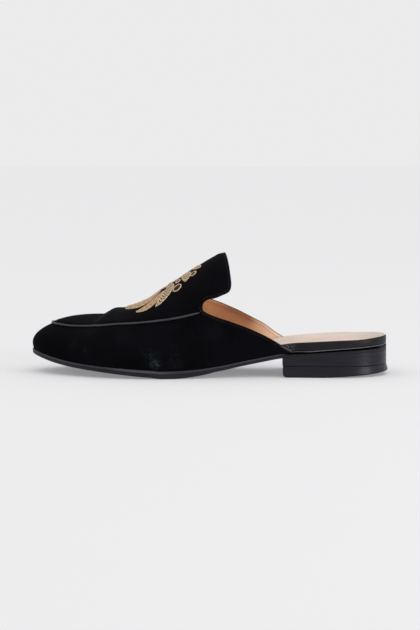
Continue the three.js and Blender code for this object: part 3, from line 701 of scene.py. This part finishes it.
def leather(name, dark, light, scale, roughness, specular, depth=0.05, rear=None, marks_and_highlights=()):
    """Grained leather; rear is a tone and a share of the specular behind the heel's front, and
    each mark gives a centre and radius in mm, a softness, a speckle scale and a tone; some marks
    are real stitching, and some are painted highlights or a lighter fade of painted shade."""
    look = Finish(name, roughness=roughness, specular=specular)
    grain = look.noise(scale, detail=5, roughness=0.6)
    cloud = look.noise(38, detail=3)
    mottle = look.math("ADD", cloud, look.math("MULTIPLY", grain, 0.35))
    tone = look.mix(look.span(mottle, 0.5, 0.9), dark, light)
    if rear:
        rear_tone, rear_share = rear
        behind = look.along_shoe(0.05, 0.06)
        tone = look.mix(behind, tone, rear_tone)
        level = look.math("MULTIPLY", look.span(behind, 0, 1, 1, rear_share), specular)
        look.link(level, look.shader.inputs["Specular IOR Level"])
    for centre, radius, softness, prick, shade in marks_and_highlights:
        mark = look.near(centre, radius, softness)
        if prick:
            mark = look.math("MULTIPLY", mark, look.span(look.noise(prick, 3, 0.6), 0.52, 0.62))
        tone = look.mix(mark, tone, shade)
    look.colour(tone)
    look.rough(look.span(grain, 0.3, 0.7, roughness - 0.06, roughness + 0.08))
    look.raise_by(grain, depth)
    return look.material


def lining():
    look = Finish("lining_leather", roughness=0.62, specular=0.3)
    grain = look.noise(520, detail=5, roughness=0.62)
    cloud = look.noise(30, detail=4)
    tone = look.mix(look.span(cloud, 0.35, 0.68), (188, 131, 92), (206, 154, 114))
    tone = look.mix(look.span(grain, 0.6, 0.8, 0.0, 0.4), tone, (172, 120, 80))
    # Painted light: lighter towards the notch and lighter still towards the open seat, for the light
    # that reaches in there.
    tone = look.mix(look.along_shoe(-0.004, 0.018, 1.0, 0.0), tone, (236, 180, 134))
    tone = look.mix(look.along_shoe(0.024, 0.055), tone, (252, 218, 188))
    for centre in LINING_SHADE:
        tone = look.mix(look.math("MULTIPLY", look.near(centre, 4.5, 4.0), 0.6), tone, (128, 76, 48))
    look.colour(tone)
    look.raise_by(grain, 0.06)
    return look.material


def sock():
    look = Finish("sock_leather", roughness=0.55, specular=0.35)
    grain = look.noise(600, detail=5, roughness=0.6)
    wear = look.noise(45, detail=4)
    tone = look.mix(look.span(wear, 0.35, 0.7), (199, 180, 165), (211, 193, 179))
    tone = look.mix(look.span(grain, 0.6, 0.8, 0.0, 0.35), tone, (172, 147, 128))
    tone = look.mix(look.along_shoe(0.09, 0.13, 0.0, 0.5), tone, (172, 161, 154))
    look.colour(tone)
    look.raise_by(grain, 0.05)
    return look.material


def heel_finish(name, dark, light):
    """Polished edge of stacked lifts, with streaks that run level."""
    look = Finish(name, roughness=0.34, specular=0.27)
    streak = look.noise(30, detail=4, vector=look.mapped((1, 1, 14)))
    grain = look.noise(300, detail=3)
    look.colour(look.mix(look.span(streak, 0.35, 0.7), dark, light))
    look.rough(look.span(grain, 0.3, 0.7, 0.32, 0.4))
    look.raise_by(streak, 0.05)
    look.raise_by(grain, 0.015)
    return look.material


def thread(name, dark, light, strand, bundle, contrast):
    """Satin stitch: strands and bundles are the widths, in mm, of one thread and of one band."""
    look = Finish(name, roughness=0.5, specular=0.3)
    uv = look.mapped((1, 1, 1), "UV")
    strands = look.wave(0.314 / strand, uv, 0.6)
    bundles = look.wave(0.314 / bundle, uv, 1.2)
    soil = look.noise(260, detail=3)
    tone = look.mix(look.span(bundles, 0.15, 0.6, 1.0 - contrast, 1.0), dark, light)
    tone = look.mix(look.span(strands, 0.0, 0.35, 0.35, 0.0), tone, dark)
    look.colour(look.mix(look.span(soil, 0.5, 0.8, 0.0, 0.4), tone, dark))
    look.raise_by(strands, 0.12, 0.8)
    look.raise_by(bundles, 0.18, 0.6)
    return look.material


def stone_finish():
    look = Finish("dark_stone", roughness=0.4, specular=0.08)
    cloud = look.noise(500, detail=2)
    look.colour(look.mix(look.span(cloud, 0.35, 0.7), (24, 8, 16), (50, 26, 34)))
    return look.material


# Middles of the painted shadow streak inside the far side of the upper, in mm
LINING_SHADE = [(15.5, 21.5, 46.4), (22.0, 22.0, 42.8), (29.0, 23.0, 38.8)]

# Scuffs on the near side: centre and radius in mm, softness, strength and tone
SCUFFS = [
    ((-39.9, -44.5, 16.0), 4.6, 3.6, 0.85, (40, 56, 60)),
    ((-37.6, -45.0, 10.8), 3.2, 2.8, 0.8, (70, 76, 82)),
    ((-24.0, -45.0, 12.5), 8.0, 7.5, 0.4, (36, 41, 48)),
    ((-46.0, -44.0, 20.0), 3.0, 2.8, 0.4, (30, 36, 42)),
    ((-98.5, -28.0, 21.8), 4.0, 3.8, 0.3, (34, 33, 37)),
    ((-88.4, -34.0, 20.2), 2.8, 2.6, 0.3, (42, 42, 50)),
    ((-65.0, -41.0, 28.7), 2.6, 2.4, 0.4, (34, 36, 44)),
    ((4.0, -33.0, 34.0), 5.5, 5.0, 0.35, (30, 34, 42)),
]
VELVET = velvet()
WING_TIP_PLACE = (57.5, -28.0, 21.0)
BINDING = leather(
    "binding_leather", (10, 7, 8), (19, 13, 14), 700, 0.7, 0.06, 0.03,
    # Painted highlight: the paler mark at the wing's tip stands for the light caught along the
    # binding's edge.
    marks_and_highlights=[(WING_TIP_PLACE, 5.5, 2.5, 0, (70, 70, 74))],
)
LINING = lining()
SOCK = sock()
SOCK_EDGE = leather("sock_edge", (62, 34, 26), (92, 56, 44), 700, 0.7, 0.2)
PIPING = leather("piping_leather", (34, 33, 39), (46, 45, 51), 900, 0.45, 0.35, 0.02)
# The second tone is painted shade: behind the heel's front the welt band turns near black with almost
# no specular, for the shadowed gap between rand and heel. The first tone is the heel's own colour,
# which the sole edge takes there.
HEEL_TONE, GAP_SHADE = (12, 11, 20), (3, 3, 5)
WELT = leather(
    "sole_welt", (40, 41, 48), (50, 51, 58), 600, 0.45, 0.25, 0.03, rear=(GAP_SHADE, 0.02),
    marks_and_highlights=[
        # Painted highlight: a lighter stretch of the welt band on the near side under the forepart,
        # for the light it catches.
        ((-49.0, -44.0, 6.0), 17.0, 12.0, 0, (66, 67, 74)),
        # Lighter at the very back, where the painted gap shade fades out.
        ((133.0, -3.0, 20.0), 15.0, 6.0, 0, (50, 50, 57)),
    ],
)
SOLE = leather(
    "sole_edge_paint", (17, 17, 23), (28, 28, 35), 380, 0.5, 0.25, 0.05, rear=(HEEL_TONE, 1.0),
)
TREAD = leather("sole_underside", (34, 33, 36), (52, 50, 52), 300, 0.7, 0.3, 0.12)
RAND = leather(
    "rand_leather", (12, 12, 17), (22, 22, 28), 650, 0.45, 0.2, 0.03,
    marks_and_highlights=[(WING_TIP_PLACE, 5.5, 3.5, 1100, (112, 112, 118))],
)
# The rib under the rand is real geometry; its pale tone is a painted highlight for the catch light
# along the rand's lower edge.
RAND_WELT = leather("rand_welt", (78, 78, 84), (98, 98, 104), 650, 0.35, 0.5, 0.02)
HEEL = heel_finish("heel_lacquer", (8, 7, 18), (20, 18, 35))
TOP_PIECE = heel_finish("top_piece_rubber", (8, 7, 18), (19, 18, 34))
LINING_STITCH = leather("lining_thread", (104, 62, 40), (132, 84, 56), 1500, 0.7, 0.2)
STITCH = leather("stitch_thread", (32, 31, 36), (52, 50, 55), 1500, 0.7, 0.2)
GOLD_FILL = thread("gold_satin_stitch", (132, 84, 54), (192, 142, 106), 0.5, 3.0, 0.5)
GOLD_BARRED = thread("barred_satin_stitch", (26, 15, 12), (206, 176, 138), 0.45, 1.9, 1.0)
GOLD_CORD = thread("pale_gold_cord", (122, 88, 52), (232, 212, 176), 0.6, 1.1, 0.95)
STONE = stone_finish()

# Velvet of the upper: the sides, the apron and the tongue, with a thickness


def tongue_shares(close, wide):
    """Shares of the way up the tongue's edge, close together near the notch and wider above."""
    return np.concatenate([np.linspace(0, 0.2, close)[1:], np.linspace(0.2, 1, wide)[1:]])


FORE = stations(NOTCH_Q, TOE_Q, 2.2)[::-1]
SIDE_ROWS = np.linspace(0, 1, 25)
APRON_ROWS = np.linspace(0, 1, 25) ** 0.9
TONGUE_KS = tongue_shares(12, 26)
VELVET_DEPTH = 0.9
# The velvet and the lining reach this far down into the gap over the sole
FOOT_DROP = 0.27


def skins(outer, inner, below, back, short=0.0):
    """Both sides and both faces of one skin of the upper, closed at its cut edges."""
    shape = Shape()
    wings = np.linspace(NOTCH_Q, UPPER_END + short, 40)[1:]
    for side in (-1, 1):
        nets = (
            side_net(side, np.concatenate([FORE, wings]), SIDE_ROWS, below),
            apron_net(side, FORE, TONGUE_KS, APRON_ROWS, back),
        )
        layers = []
        for depth in (outer, inner):
            flank, apron = (wrap(*net, depth) for net in nets)
            flank[:, 0, 2] -= FOOT_DROP
            shape.grid(flank)
            shape.grid(apron)
            layers.append((flank, apron))
        rims = []
        for flank, apron in layers:
            count = len(FORE)
            rims.append(np.concatenate([
                flank[:, 0], flank[-1, 1:], flank[count - 1:-1, -1][::-1],
                apron[count:, 0], apron[-1, 1:],
            ]))
        shape.grid(np.stack(rims))
    return shape


velvet_shape = skins(0.0, VELVET_DEPTH, 0.35, 0.3)
velvet_piece = velvet_shape.make("velvet_upper", [VELVET], ["upper"], "velvet", sharp=50)
lining_shape = skins(VELVET_DEPTH + 0.25, UPPER_WALL, 0.1, 0.1, 3.0)
lining_shape.make("leather_lining", [LINING], slot="sock", sharp=50)

# Bound edge of the topline and the tongue, and its stitches


def rim_places(side):
    """Places along the cut edge from the wing's end to the notch and round the tongue to the crest."""
    qs = np.linspace(UPPER_END, NOTCH_Q, 60)
    s = side * (TOE_Q - qs)
    turn = wing_turn(s, qs)
    net_s, net_turn, _ = apron_net(side, FORE, tongue_shares(14, 32), np.linspace(0, 1, 33))
    count = len(FORE)
    return (
        np.concatenate([s, net_s[count:, 0], net_s[-1, 1:]]),
        np.concatenate([turn, net_turn[count:, 0], net_turn[-1, 1:]]),
    )


def rim_path():
    lateral, medial = rim_places(-1), rim_places(1)
    s = np.concatenate([lateral[0], medial[0][::-1][1:]])
    turn = np.concatenate([lateral[1], medial[1][::-1][1:]])
    points = last_point(s, turn)
    normals = outward(s, turn)
    way = travelled(points)
    even = np.arange(0, way[-1], 1.0)
    points = resampled(even, way, points)
    normals = unit(resampled(even, way, normals))
    for _ in range(3):
        points[1:-1] = (points[:-2] + 2 * points[1:-1] + points[2:]) / 4
        normals[1:-1] = unit(normals[:-2] + 2 * normals[1:-1] + normals[2:])
    along = unit(np.gradient(points, axis=0))
    off = unit(np.cross(normals, along))
    middle = len(points) // 2
    if off[middle, 0] < 0:  # the tongue's edge looks back, towards the heel
        off = -off
    return even, points, normals, off


RIM_WAY, RIM, RIM_NORMAL, RIM_OFF = rim_path()
# Section of the binding: distance off the edge, and height over the velvet
BINDING_SECTION = np.array([
    (-1.05, -0.12), (-0.95, 0.06), (-0.7, 0.12), (-0.25, 0.12), (0.08, 0.0), (0.22, -0.3),
    (0.22, -0.8), (0.08, -1.05), (-0.3, -1.1), (-0.6, -0.7),
])
binding_shape = Shape()
binding_shape.grid(capped(
    RIM[:, None]
    + RIM_OFF[:, None] * BINDING_SECTION[None, :, :1]
    + RIM_NORMAL[:, None] * BINDING_SECTION[None, :, 1:]
), closed=True)
binding_shape.make("edge_binding", [BINDING], sharp=60)

STITCH_PITCH, STITCH_RISE = 2.1, 0.1


def stitches(row, facing, length, radius):
    """Short raised stitches along a row beside the rim, on the face that looks along facing."""
    shape = Shape()
    for start in np.arange(3.0, RIM_WAY[-1] - 3, STITCH_PITCH):
        at = np.linspace(start, start + length, 5)
        path = resampled(at, RIM_WAY, row)
        normal = facing * resampled(at, RIM_WAY, RIM_NORMAL)
        path += normal * (STITCH_RISE * np.sin(np.linspace(0, PI, 5)))[:, None]
        tube(shape, path, normal, radius * np.array([0.6, 1, 1, 1, 0.6]), 6)
    return shape


# The outer row shows on the velvet, and the inner one on the lining
outer_row = RIM - RIM_OFF * 1.75 + RIM_NORMAL * 0.03
stitches(outer_row, 1, 1.35, 0.13).make("topline_stitches", [STITCH], sharp=80)
inner_row = RIM - RIM_OFF * 2.3 - RIM_NORMAL * (UPPER_WALL + 0.02)
stitches(inner_row, -1, 1.4, 0.15).make("lining_stitches", [LINING_STITCH], slot="sock", sharp=80)

# Piping over the seam, from notch to notch


def piping():
    qs = stations(NOTCH_Q + 2.2, TOE_Q, 1.6)
    s = np.concatenate([qs - TOE_Q, (TOE_Q - qs[:-1])[::-1]])
    below = PIPING_RADIUS * 0.75
    turn = seam_turn(s) - below / profile_length(s) * QUARTER
    normal = outward(s, turn)
    lift = PIPING_RADIUS + CLEARANCE - SEAM_STEP
    centre = last_point(s, turn) + normal * (lift - 0.42)
    ends = smooth((qs - qs[0]) / 5)
    ends = np.concatenate([ends, ends[:-1][::-1]])
    centre = centre - normal * ((1 - ends) * 0.5)[:, None]
    shape = Shape()
    tube(shape, centre, normal, (PIPING_RADIUS - 0.15) * (0.6 + 0.4 * ends), 14)
    shape.make("seam_piping", [PIPING], ["apron_piping"], "piping", sharp=80)


piping()

# Outsole: a welt band over the painted edge, a groove between them, and the tread

BAND = 0.38  # share of the edge's height that the welt band takes
SLIGHT = 0.12  # inset of every level of the sole at the back


def share_height(share, more=0.0):
    return lambda x: underside(x) + (topside(x) - underside(x)) * share + more


def over_heel(front, behind):
    """An inset from the forepart's value to the one over the heel, and to SLIGHT at the back."""

    def at(q):
        seat = SLIGHT + (behind - SLIGHT) * smooth((q - HEEL_Q - 3) / 14)
        return seat + (front - seat) * smooth((q - BREAST + 4) / 9)

    return at


plate(
    TOE_Q,
    [
        (over_heel(1.5, 0.3), underside),
        (over_heel(0.75, 0.15), over(underside, 0.12)),
        (over_heel(0.25, 0.1), over(underside, 0.45)),
        (over_heel(0.12, 0.1), over(underside, 0.9)),
        (over_heel(0.16, 0.12), share_height(1 - BAND, -0.22)),
        (over_heel(0.55, 0.3), share_height(1 - BAND, -0.05)),
        (over_heel(0.1, 0.6), share_height(1 - BAND, 0.12)),
        (over_heel(0.0, 0.9), share_height(1 - BAND / 2)),
        (over_heel(0.1, 1.0), over(topside, -0.3)),
        (over_heel(0.45, 1.2), topside),
    ],
    slots=[2, 0, 0, 0, 0, 1, 1, 1, 1, 1],
    columns=10,
).make("sole", [SOLE, WELT, TREAD], ["outsole"], "sole_edge", sharp=40)

# Heel: a stack of lifts and the top piece


def heel_inset(rise, more=0.0):
    def at(q):
        back = 0.2 + 0.8 * smooth((BREAST - q) / BREAST)
        return HEEL_INSET - HEEL_FLARE * back * math.exp(-rise / FLARE_HEIGHT) + more

    return at


def roll_at(x):
    return HEEL_ROLL * np.maximum(0, 1 + x / HEEL_ROLL_LENGTH) ** 1.15


def level(height):
    return lambda x: height + 0 * x


def groove(height, below):
    """A level line that bends down to stay clear of the sole's underside."""
    return lambda x: np.minimum(height, underside(x) - below)


lift_low = TOP_PIECE_HEIGHT + 0.12
plate(
    BREAST,
    [
        (heel_inset(8, 0.5), level(lift_low), 0.4),
        (heel_inset(8, 0.12), level(lift_low + 0.2), 0.1),
        (heel_inset(8.6), level(lift_low + 0.5)),
        (heel_inset(9), level(lift_low + 0.75)),
        (heel_inset(12), level(11.5)),
        (heel_inset(14), groove(14.25, 1.1)),
        (heel_inset(14), groove(14.5, 0.9)),
        (heel_inset(14, 0.1), groove(14.65, 0.75)),
        (heel_inset(14), groove(14.8, 0.6)),
        (heel_inset(14), groove(15.05, 0.52)),
        (heel_inset(16), over(underside, -0.44)),
        (heel_inset(16), over(underside, -0.3)),
        (heel_inset(17, 0.04), over(underside, -0.12)),
        (heel_inset(18, 0.12), over(underside, -0.03)),
    ],
    hollow=BREAST_HOLLOW,
).make("heel_stack", [HEEL], ["heel_lift"], "heel", sharp=40)

TIP_ROUND = 3.2  # radius of the front edge at the floor
tip_levels = []
for rise in (0.0, 0.12, 0.45, 0.95, 1.7, 2.5):
    drawn = TIP_ROUND - math.sqrt(max(0.0, TIP_ROUND ** 2 - max(0.0, TIP_ROUND - rise) ** 2))
    rounded = 0.7 * (1 - min(1.0, rise / 0.95)) ** 2
    tip_levels.append((heel_inset(rise, rounded), over(roll_at, rise), drawn))
tip_levels += [
    (heel_inset(4), lambda x: np.maximum(4.2, roll_at(x) + 3.2)),
    (heel_inset(6), level(6.2)),
    (heel_inset(7), level(TOP_PIECE_HEIGHT - 0.75)),
    (heel_inset(7.5), level(TOP_PIECE_HEIGHT - 0.5)),
    (heel_inset(8, 0.12), level(TOP_PIECE_HEIGHT - 0.2), 0.1),
    (heel_inset(8, 0.4), level(TOP_PIECE_HEIGHT), 0.3),
]
tip_shape = plate(BREAST, tip_levels, hollow=BREAST_HOLLOW)
tip_shape.make("heel_tip", [TOP_PIECE], ["heel_top_piece"], "heel", sharp=40)

# Seat rand with its welt line, and the sock

INSIDE_UPPER = UPPER_INSET + UPPER_WALL + CLEARANCE + 0.15


def rand_top(x):
    cup = SEAT_CUP * smooth(1 + x / SEAT_CUP_LENGTH)
    return underside(x) + WAIST_THICKNESS + CLEARANCE + RAND_HEIGHT + cup


def tucked(inset, depth):
    return lambda q: inset + (depth - inset) * smooth((q - TUCK_START) / (TUCK_END - TUCK_START))


rand_inset = tucked(RAND_INSET, INSIDE_UPPER)
RAND_PITCH = 1.5


def ring_ways(end):
    ways = TOE_Q - stations(HEEL_Q, end, RAND_PITCH)
    return np.concatenate([ways[::-1], 2 * EDGE_HALF - ways[1:]])


def swept_round(ways, section):
    """Sweep a section round the seat: each corner gives its inset, its share of the way from the
    sole up to the rand's top, and a height added to that."""
    own = np.where(ways > EDGE_HALF, 2 * EDGE_HALF - ways, ways)
    gap = rand_inset(TOE_Q - own)
    x = edge(ways, gap)[..., 0]
    low, high = topside(x), rand_top(x)
    net = []
    for inset, share, more in section:
        p = edge(ways, gap + inset)
        net.append(stack(p[..., 0], p[..., 1], low + (high - low) * share + more))
    shape = Shape()
    shape.grid(capped(np.stack(net, axis=1)), closed=True)
    return shape


swept_round(ring_ways(RAND_END), [
    (0.4, 0, 0.85), (0.15, 0, 1.05), (0.02, 0, 1.7), (0.0, 0.6, 0), (0.02, 1, -0.7), (0.16, 1, -0.2),
    (0.5, 1, 0), (1.0, 1, 0), (RAND_THICKNESS, 1, 0), (RAND_THICKNESS, 0.5, 0),
    (RAND_THICKNESS, 0, CLEARANCE), (0.9, 0, CLEARANCE), (0.9, 0, 0.8),
]).make("rand_band", [RAND], ["seat_rand"], "rand", sharp=50)

angles = np.arange(10) / 10 * 2 * PI
# Thin rib under the rand; its pale tone is a painted highlight.
swept_round(ring_ways(RAND_END - 4), [
    (0.4 - 0.4 * math.cos(a), 0, 0.55 + 0.3 * math.sin(a)) for a in angles
]).make("rand_welt_line", [RAND_WELT], slot="rand", sharp=80)


def ahead(q):
    return smooth((q - RAND_END) / 10)


def body_inset(q):
    behind = rand_inset(q) + RAND_THICKNESS + CLEARANCE
    return behind + (INSIDE_UPPER - behind) * ahead(q)


def sock_foot(x):
    share = smooth((-x - RAND_END) / (SOLE_LENGTH / 3))
    seat = rand_top(x) + 0.06
    return seat + (topside(x) + INSOLE_FOREPART - 0.9 - seat) * share


def sock_inset(more):
    inner = tucked(SOCK_INSET, INSIDE_UPPER)
    return lambda q: inner(q) + more


plate(
    TOE_Q,
    [
        (body_inset, over(topside, CLEARANCE)),
        (body_inset, sock_foot),
        (sock_inset(0.1), sock_foot),
        (sock_inset(0.0), over(sock_foot, 0.12)),
        (sock_inset(0.06), over(sock_foot, 0.4)),
        (sock_inset(0.3), over(sock_foot, 0.56)),
        (sock_inset(0.9), over(sock_foot, 0.6)),
        (sock_inset(2.5), over(sock_foot, 0.5)),
    ],
    slots=[0, 0, 1, 1, 0, 0, 0, 0],
).make("sock", [SOCK, SOCK_EDGE], ["insole"], "sock", sharp=50)

# Embroidery: a sprig of leaves with small set stones, on both sides of the crest

skin_mesh = velvet_piece.data
skin_tree = BVHTree.FromPolygons(
    [v.co * 1000 for v in skin_mesh.vertices],
    [tuple(p.vertices) for p in skin_mesh.polygons],
)
CHART_RADIUS, RAY_START = 24.0, 70


def on_skin(u, b, lift):
    """Points on the velvet at a distance forward and a distance down from the crest."""
    u, b, lift = paired(u, b, lift)
    points = np.zeros(u.shape + (3,))
    normals = np.zeros(u.shape + (3,))
    for place in np.ndindex(u.shape):
        at = u[place] / SOLE_LENGTH
        centre = float(crest_height(at)) - CHART_RADIUS
        axis = Vector((-u[place], float(crest_aside(at)), centre)) + Vector(MOVE)
        angle = b[place] / CHART_RADIUS
        ray = Vector((0.0, math.sin(angle), math.cos(angle)))
        hit, normal, _, _ = skin_tree.ray_cast(axis + ray * RAY_START, -ray)
        if normal.dot(ray) < 0:
            normal = -normal
        points[place] = np.array(hit) - MOVE + np.array(normal) * lift[place]
        normals[place] = np.array(normal)
    return points, normals


def bend(start, middle, end, count):
    t = np.linspace(0, 1, count)[:, None]
    start, middle, end = (np.array(p, float) for p in (start, middle, end))
    return start * (1 - t) ** 2 + middle * 2 * t * (1 - t) + end * t * t


def laid_cord(cords, side, line, lift, radius, sides=7):
    """A cord on the velvet, along a line of places forward and down from the crest."""
    path, normals = on_skin(line[:, 0], side * line[:, 1], lift)
    tube(cords, path, normals, radius, sides)


def leaf(fill, cords, side, start, middle, end, width, height=0.5, cord=0.42, vein=True):
    """A satin-stitched leaf with a corded outline and vein."""
    line = bend(start, middle, end, 19)
    t = np.linspace(0, 1, 19)
    along = unit(np.gradient(line, axis=0))
    normal = np.stack([-along[:, 1], along[:, 0]], -1)
    half = width * np.sin(PI * t ** 0.8) ** 0.75
    v = np.linspace(-1, 1, 9)
    spots = line[:, None] + normal[:, None] * (half[:, None] * v[None, :])[..., None]
    dome = height * (1 - v[None, :] ** 2) ** 0.5 * np.clip(half / width, 0, 1)[:, None] ** 0.5
    dome = dome - 0.25 * np.exp(-(v[None, :] / 0.16) ** 2) * (dome > 0)
    points, _ = on_skin(spots[..., 0], side * spots[..., 1], dome + 0.02)
    low, _ = on_skin(spots[..., 0], side * spots[..., 1], -0.25)
    length = travelled(line)
    uv = stack(length[:, None] + 0.55 * half[:, None] * np.abs(v)[None, :], half[:, None] * v[None, :])
    fill.grid(points, uv)
    fill.grid(low, uv)
    for column in (0, -1):
        laid_cord(cords, side, spots[:, column], 0.22, cord)
    if vein:
        laid_cord(cords, side, line[2:-3], height * 0.75, cord * 0.6, 6)


def berry(stones, cords, u, b, radius):
    """A small faceted stone inside a ring of cord."""
    angle = np.arange(13) / 12 * 2 * PI
    around, down = np.cos(angle), np.sin(angle)
    rings = []
    for share, lift in ((1.0, -0.2), (1.0, 0.2), (0.72, 0.6), (0.4, 0.72), (0.0, 0.72)):
        reach = radius * share
        points, _ = on_skin(u + reach * around[:-1], b + reach * down[:-1], lift)
        rings.append(points)
    middle = rings[-1].mean(axis=0)
    rings[-1] = np.repeat(middle[None], 12, 0)
    stones.grid(np.stack(rings), closed=True)
    ring = radius + 0.45
    laid_cord(cords, 1, stack(u + ring * around, b + ring * down), 0.25, 0.48)


# Leaves of one side: base, bend and tip as places forward and down from the crest, half-width,
# and whether the stitches are barred
LEAVES = [
    ((167.0, 6.0), (181.0, 16.5), (193.0, 10.0), 4.3, 0),
    ((164.5, 13.5), (171.0, 22.5), (184.0, 21.5), 2.9, 0),
    ((158.5, 9.0), (161.0, 20.5), (169.5, 25.5), 3.5, 1),
    ((149.5, 3.5), (146.5, 11.5), (148.5, 17.5), 3.2, 1),
    ((143.0, 3.5), (139.5, 6.5), (137.5, 10.5), 2.0, 0),
]
MIDDLE_LEAVES = [
    ((165.5, 0.0), (180.0, 0.0), (195.0, 0.0), 5.4),
    ((146.5, 0.0), (143.0, 0.0), (139.5, 0.0), 2.2),
]
SIDE_BERRIES = [(160.3, 5.4, 1.3), (154.3, 19.6, 2.5), (142.6, 13.8, 1.6), (154.0, 11.4, 1.2)]
STEMS = [
    ((166.0, 5.0), (162.0, 8.5), (160.0, 12.0)),
    ((158.5, 5.5), (153.5, 7.0), (149.5, 4.5)),
    ((160.5, 15.0), (157.0, 17.0), (155.5, 18.0)),
    ((149.0, 8.0), (146.0, 9.0), (144.0, 12.0)),
]
fill_shape, barred_shape, cord_shape, stone_shape = Shape(), Shape(), Shape(), Shape()
for side in (-1, 1):
    for start, middle, end, width, barred in LEAVES:
        fill = barred_shape if barred else fill_shape
        leaf(fill, cord_shape, side, start, middle, end, width, vein=not barred)
    for u, b, radius in SIDE_BERRIES:
        berry(stone_shape, cord_shape, u, side * b, radius)
    for start, middle, end in STEMS:
        laid_cord(cord_shape, side, bend(start, middle, end, 9), 0.3, 0.5)
for start, middle, end, width in MIDDLE_LEAVES:
    leaf(fill_shape, cord_shape, 1, start, middle, end, width, 0.3, 0.34)
for name, shape, finish, sharp in (
    ("sprig_leaves", fill_shape, GOLD_FILL, 80),
    ("sprig_barred_leaves", barred_shape, GOLD_BARRED, 80),
    ("sprig_cords", cord_shape, GOLD_CORD, 80),
    ("sprig_stones", stone_shape, STONE, 12),
):
    shape.make(name, [finish], slot="piping", sharp=sharp)

# Floor, light and camera

floor_shape = bpy.data.meshes.new("floor")
work = bmesh.new()
bmesh.ops.create_grid(work, x_segments=24, y_segments=24, size=14)
work.to_mesh(floor_shape)
work.free()
floor = add("floor", floor_shape)
floor_look = Finish("pale_floor", roughness=0.9, specular=0.0)
paper = floor_look.noise(6, detail=3)
FLOOR_TONE, FLOOR_GLOW = 0.52, 0.236
floor_look.colour(floor_look.mix(
    paper,
    [FLOOR_TONE * 0.995, FLOOR_TONE * 0.995, FLOOR_TONE, 1.0],
    [FLOOR_TONE, FLOOR_TONE, FLOOR_TONE * 1.003, 1.0],
))
floor_look.put("Emission Color", (0.985, 0.985, 1.03, 1.0))
floor_look.put("Emission Strength", FLOOR_GLOW)
floor_shape.materials.append(floor_look.material)

world = bpy.data.worlds.new("studio")
world.use_nodes = True
bpy.context.scene.world = world
sky_nodes, sky_links = world.node_tree.nodes, world.node_tree.links
background = next(n for n in sky_nodes if n.type == "BACKGROUND")
place = sky_nodes.new("ShaderNodeTexCoord")
split = sky_nodes.new("ShaderNodeSeparateXYZ")
ramp = sky_nodes.new("ShaderNodeMapRange")
ramp.interpolation_type = "SMOOTHSTEP"
# The sky is a little darker towards the horizon: start and end of the change, then its strengths
SKY_RAMP = {"From Min": 0.35, "From Max": 0.8, "To Min": 0.832, "To Max": 1.0}
for key, number in SKY_RAMP.items():
    ramp.inputs[key].default_value = number
sky_links.new(place.outputs["Generated"], split.inputs[0])
sky_links.new(split.outputs["Z"], ramp.inputs["Value"])
sky_links.new(ramp.outputs["Result"], background.inputs["Strength"])
background.inputs["Color"].default_value = (1.0, 1.0, 1.003, 1.0)

# A broad soft light from above, and an upright strip beyond the heel for its highlight
SUN_ENERGY, SUN_ANGLE, SUN_FROM = 0.6, math.radians(75), Vector((-0.1, -0.25, 1.0))
STRIP_ENERGY, STRIP_SIZE = 8.0, (0.18, 0.8)
STRIP_PLACE, STRIP_TARGET = Vector((1.42, -0.85, 0.34)), Vector((0.08, 0.0, 0.02))
sun_data = bpy.data.lights.new("soft_top_light", "SUN")
sun_data.energy = SUN_ENERGY
sun_data.color = (1.0, 0.99, 0.96)
sun_data.angle = SUN_ANGLE
add("soft_top_light", sun_data).rotation_euler = SUN_FROM.to_track_quat("Z", "Y").to_euler()
strip_data = bpy.data.lights.new("strip_softbox", "AREA")
strip_data.shape = "RECTANGLE"
strip_data.size, strip_data.size_y = STRIP_SIZE
strip_data.energy = STRIP_ENERGY
strip = add("strip_softbox", strip_data)
strip.location = STRIP_PLACE
strip.rotation_euler = (STRIP_TARGET - STRIP_PLACE).to_track_quat("-Z", "Y").to_euler()

AZIMUTH, ELEVATION, DISTANCE = math.radians(2.0), math.radians(5.5), 1.3
AIM = Vector((0.0005, 0.0, 0.042637))
IMAGE_HEIGHT, FOCAL_PIXELS, SENSOR_HEIGHT = 630, 1748.5, 36.0
camera_data = bpy.data.cameras.new("camera")
camera_data.sensor_fit = "VERTICAL"
camera_data.sensor_height = SENSOR_HEIGHT
camera_data.lens = FOCAL_PIXELS / IMAGE_HEIGHT * SENSOR_HEIGHT
camera = add("camera", camera_data)
back = Vector((
    math.sin(AZIMUTH) * math.cos(ELEVATION),
    -math.cos(AZIMUTH) * math.cos(ELEVATION),
    math.sin(ELEVATION),
))
camera.location = AIM + back * DISTANCE
camera.rotation_euler = back.to_track_quat("Z", "Y").to_euler()
bpy.context.scene.camera = camera
bpy.context.scene.view_settings.view_transform = "Standard"
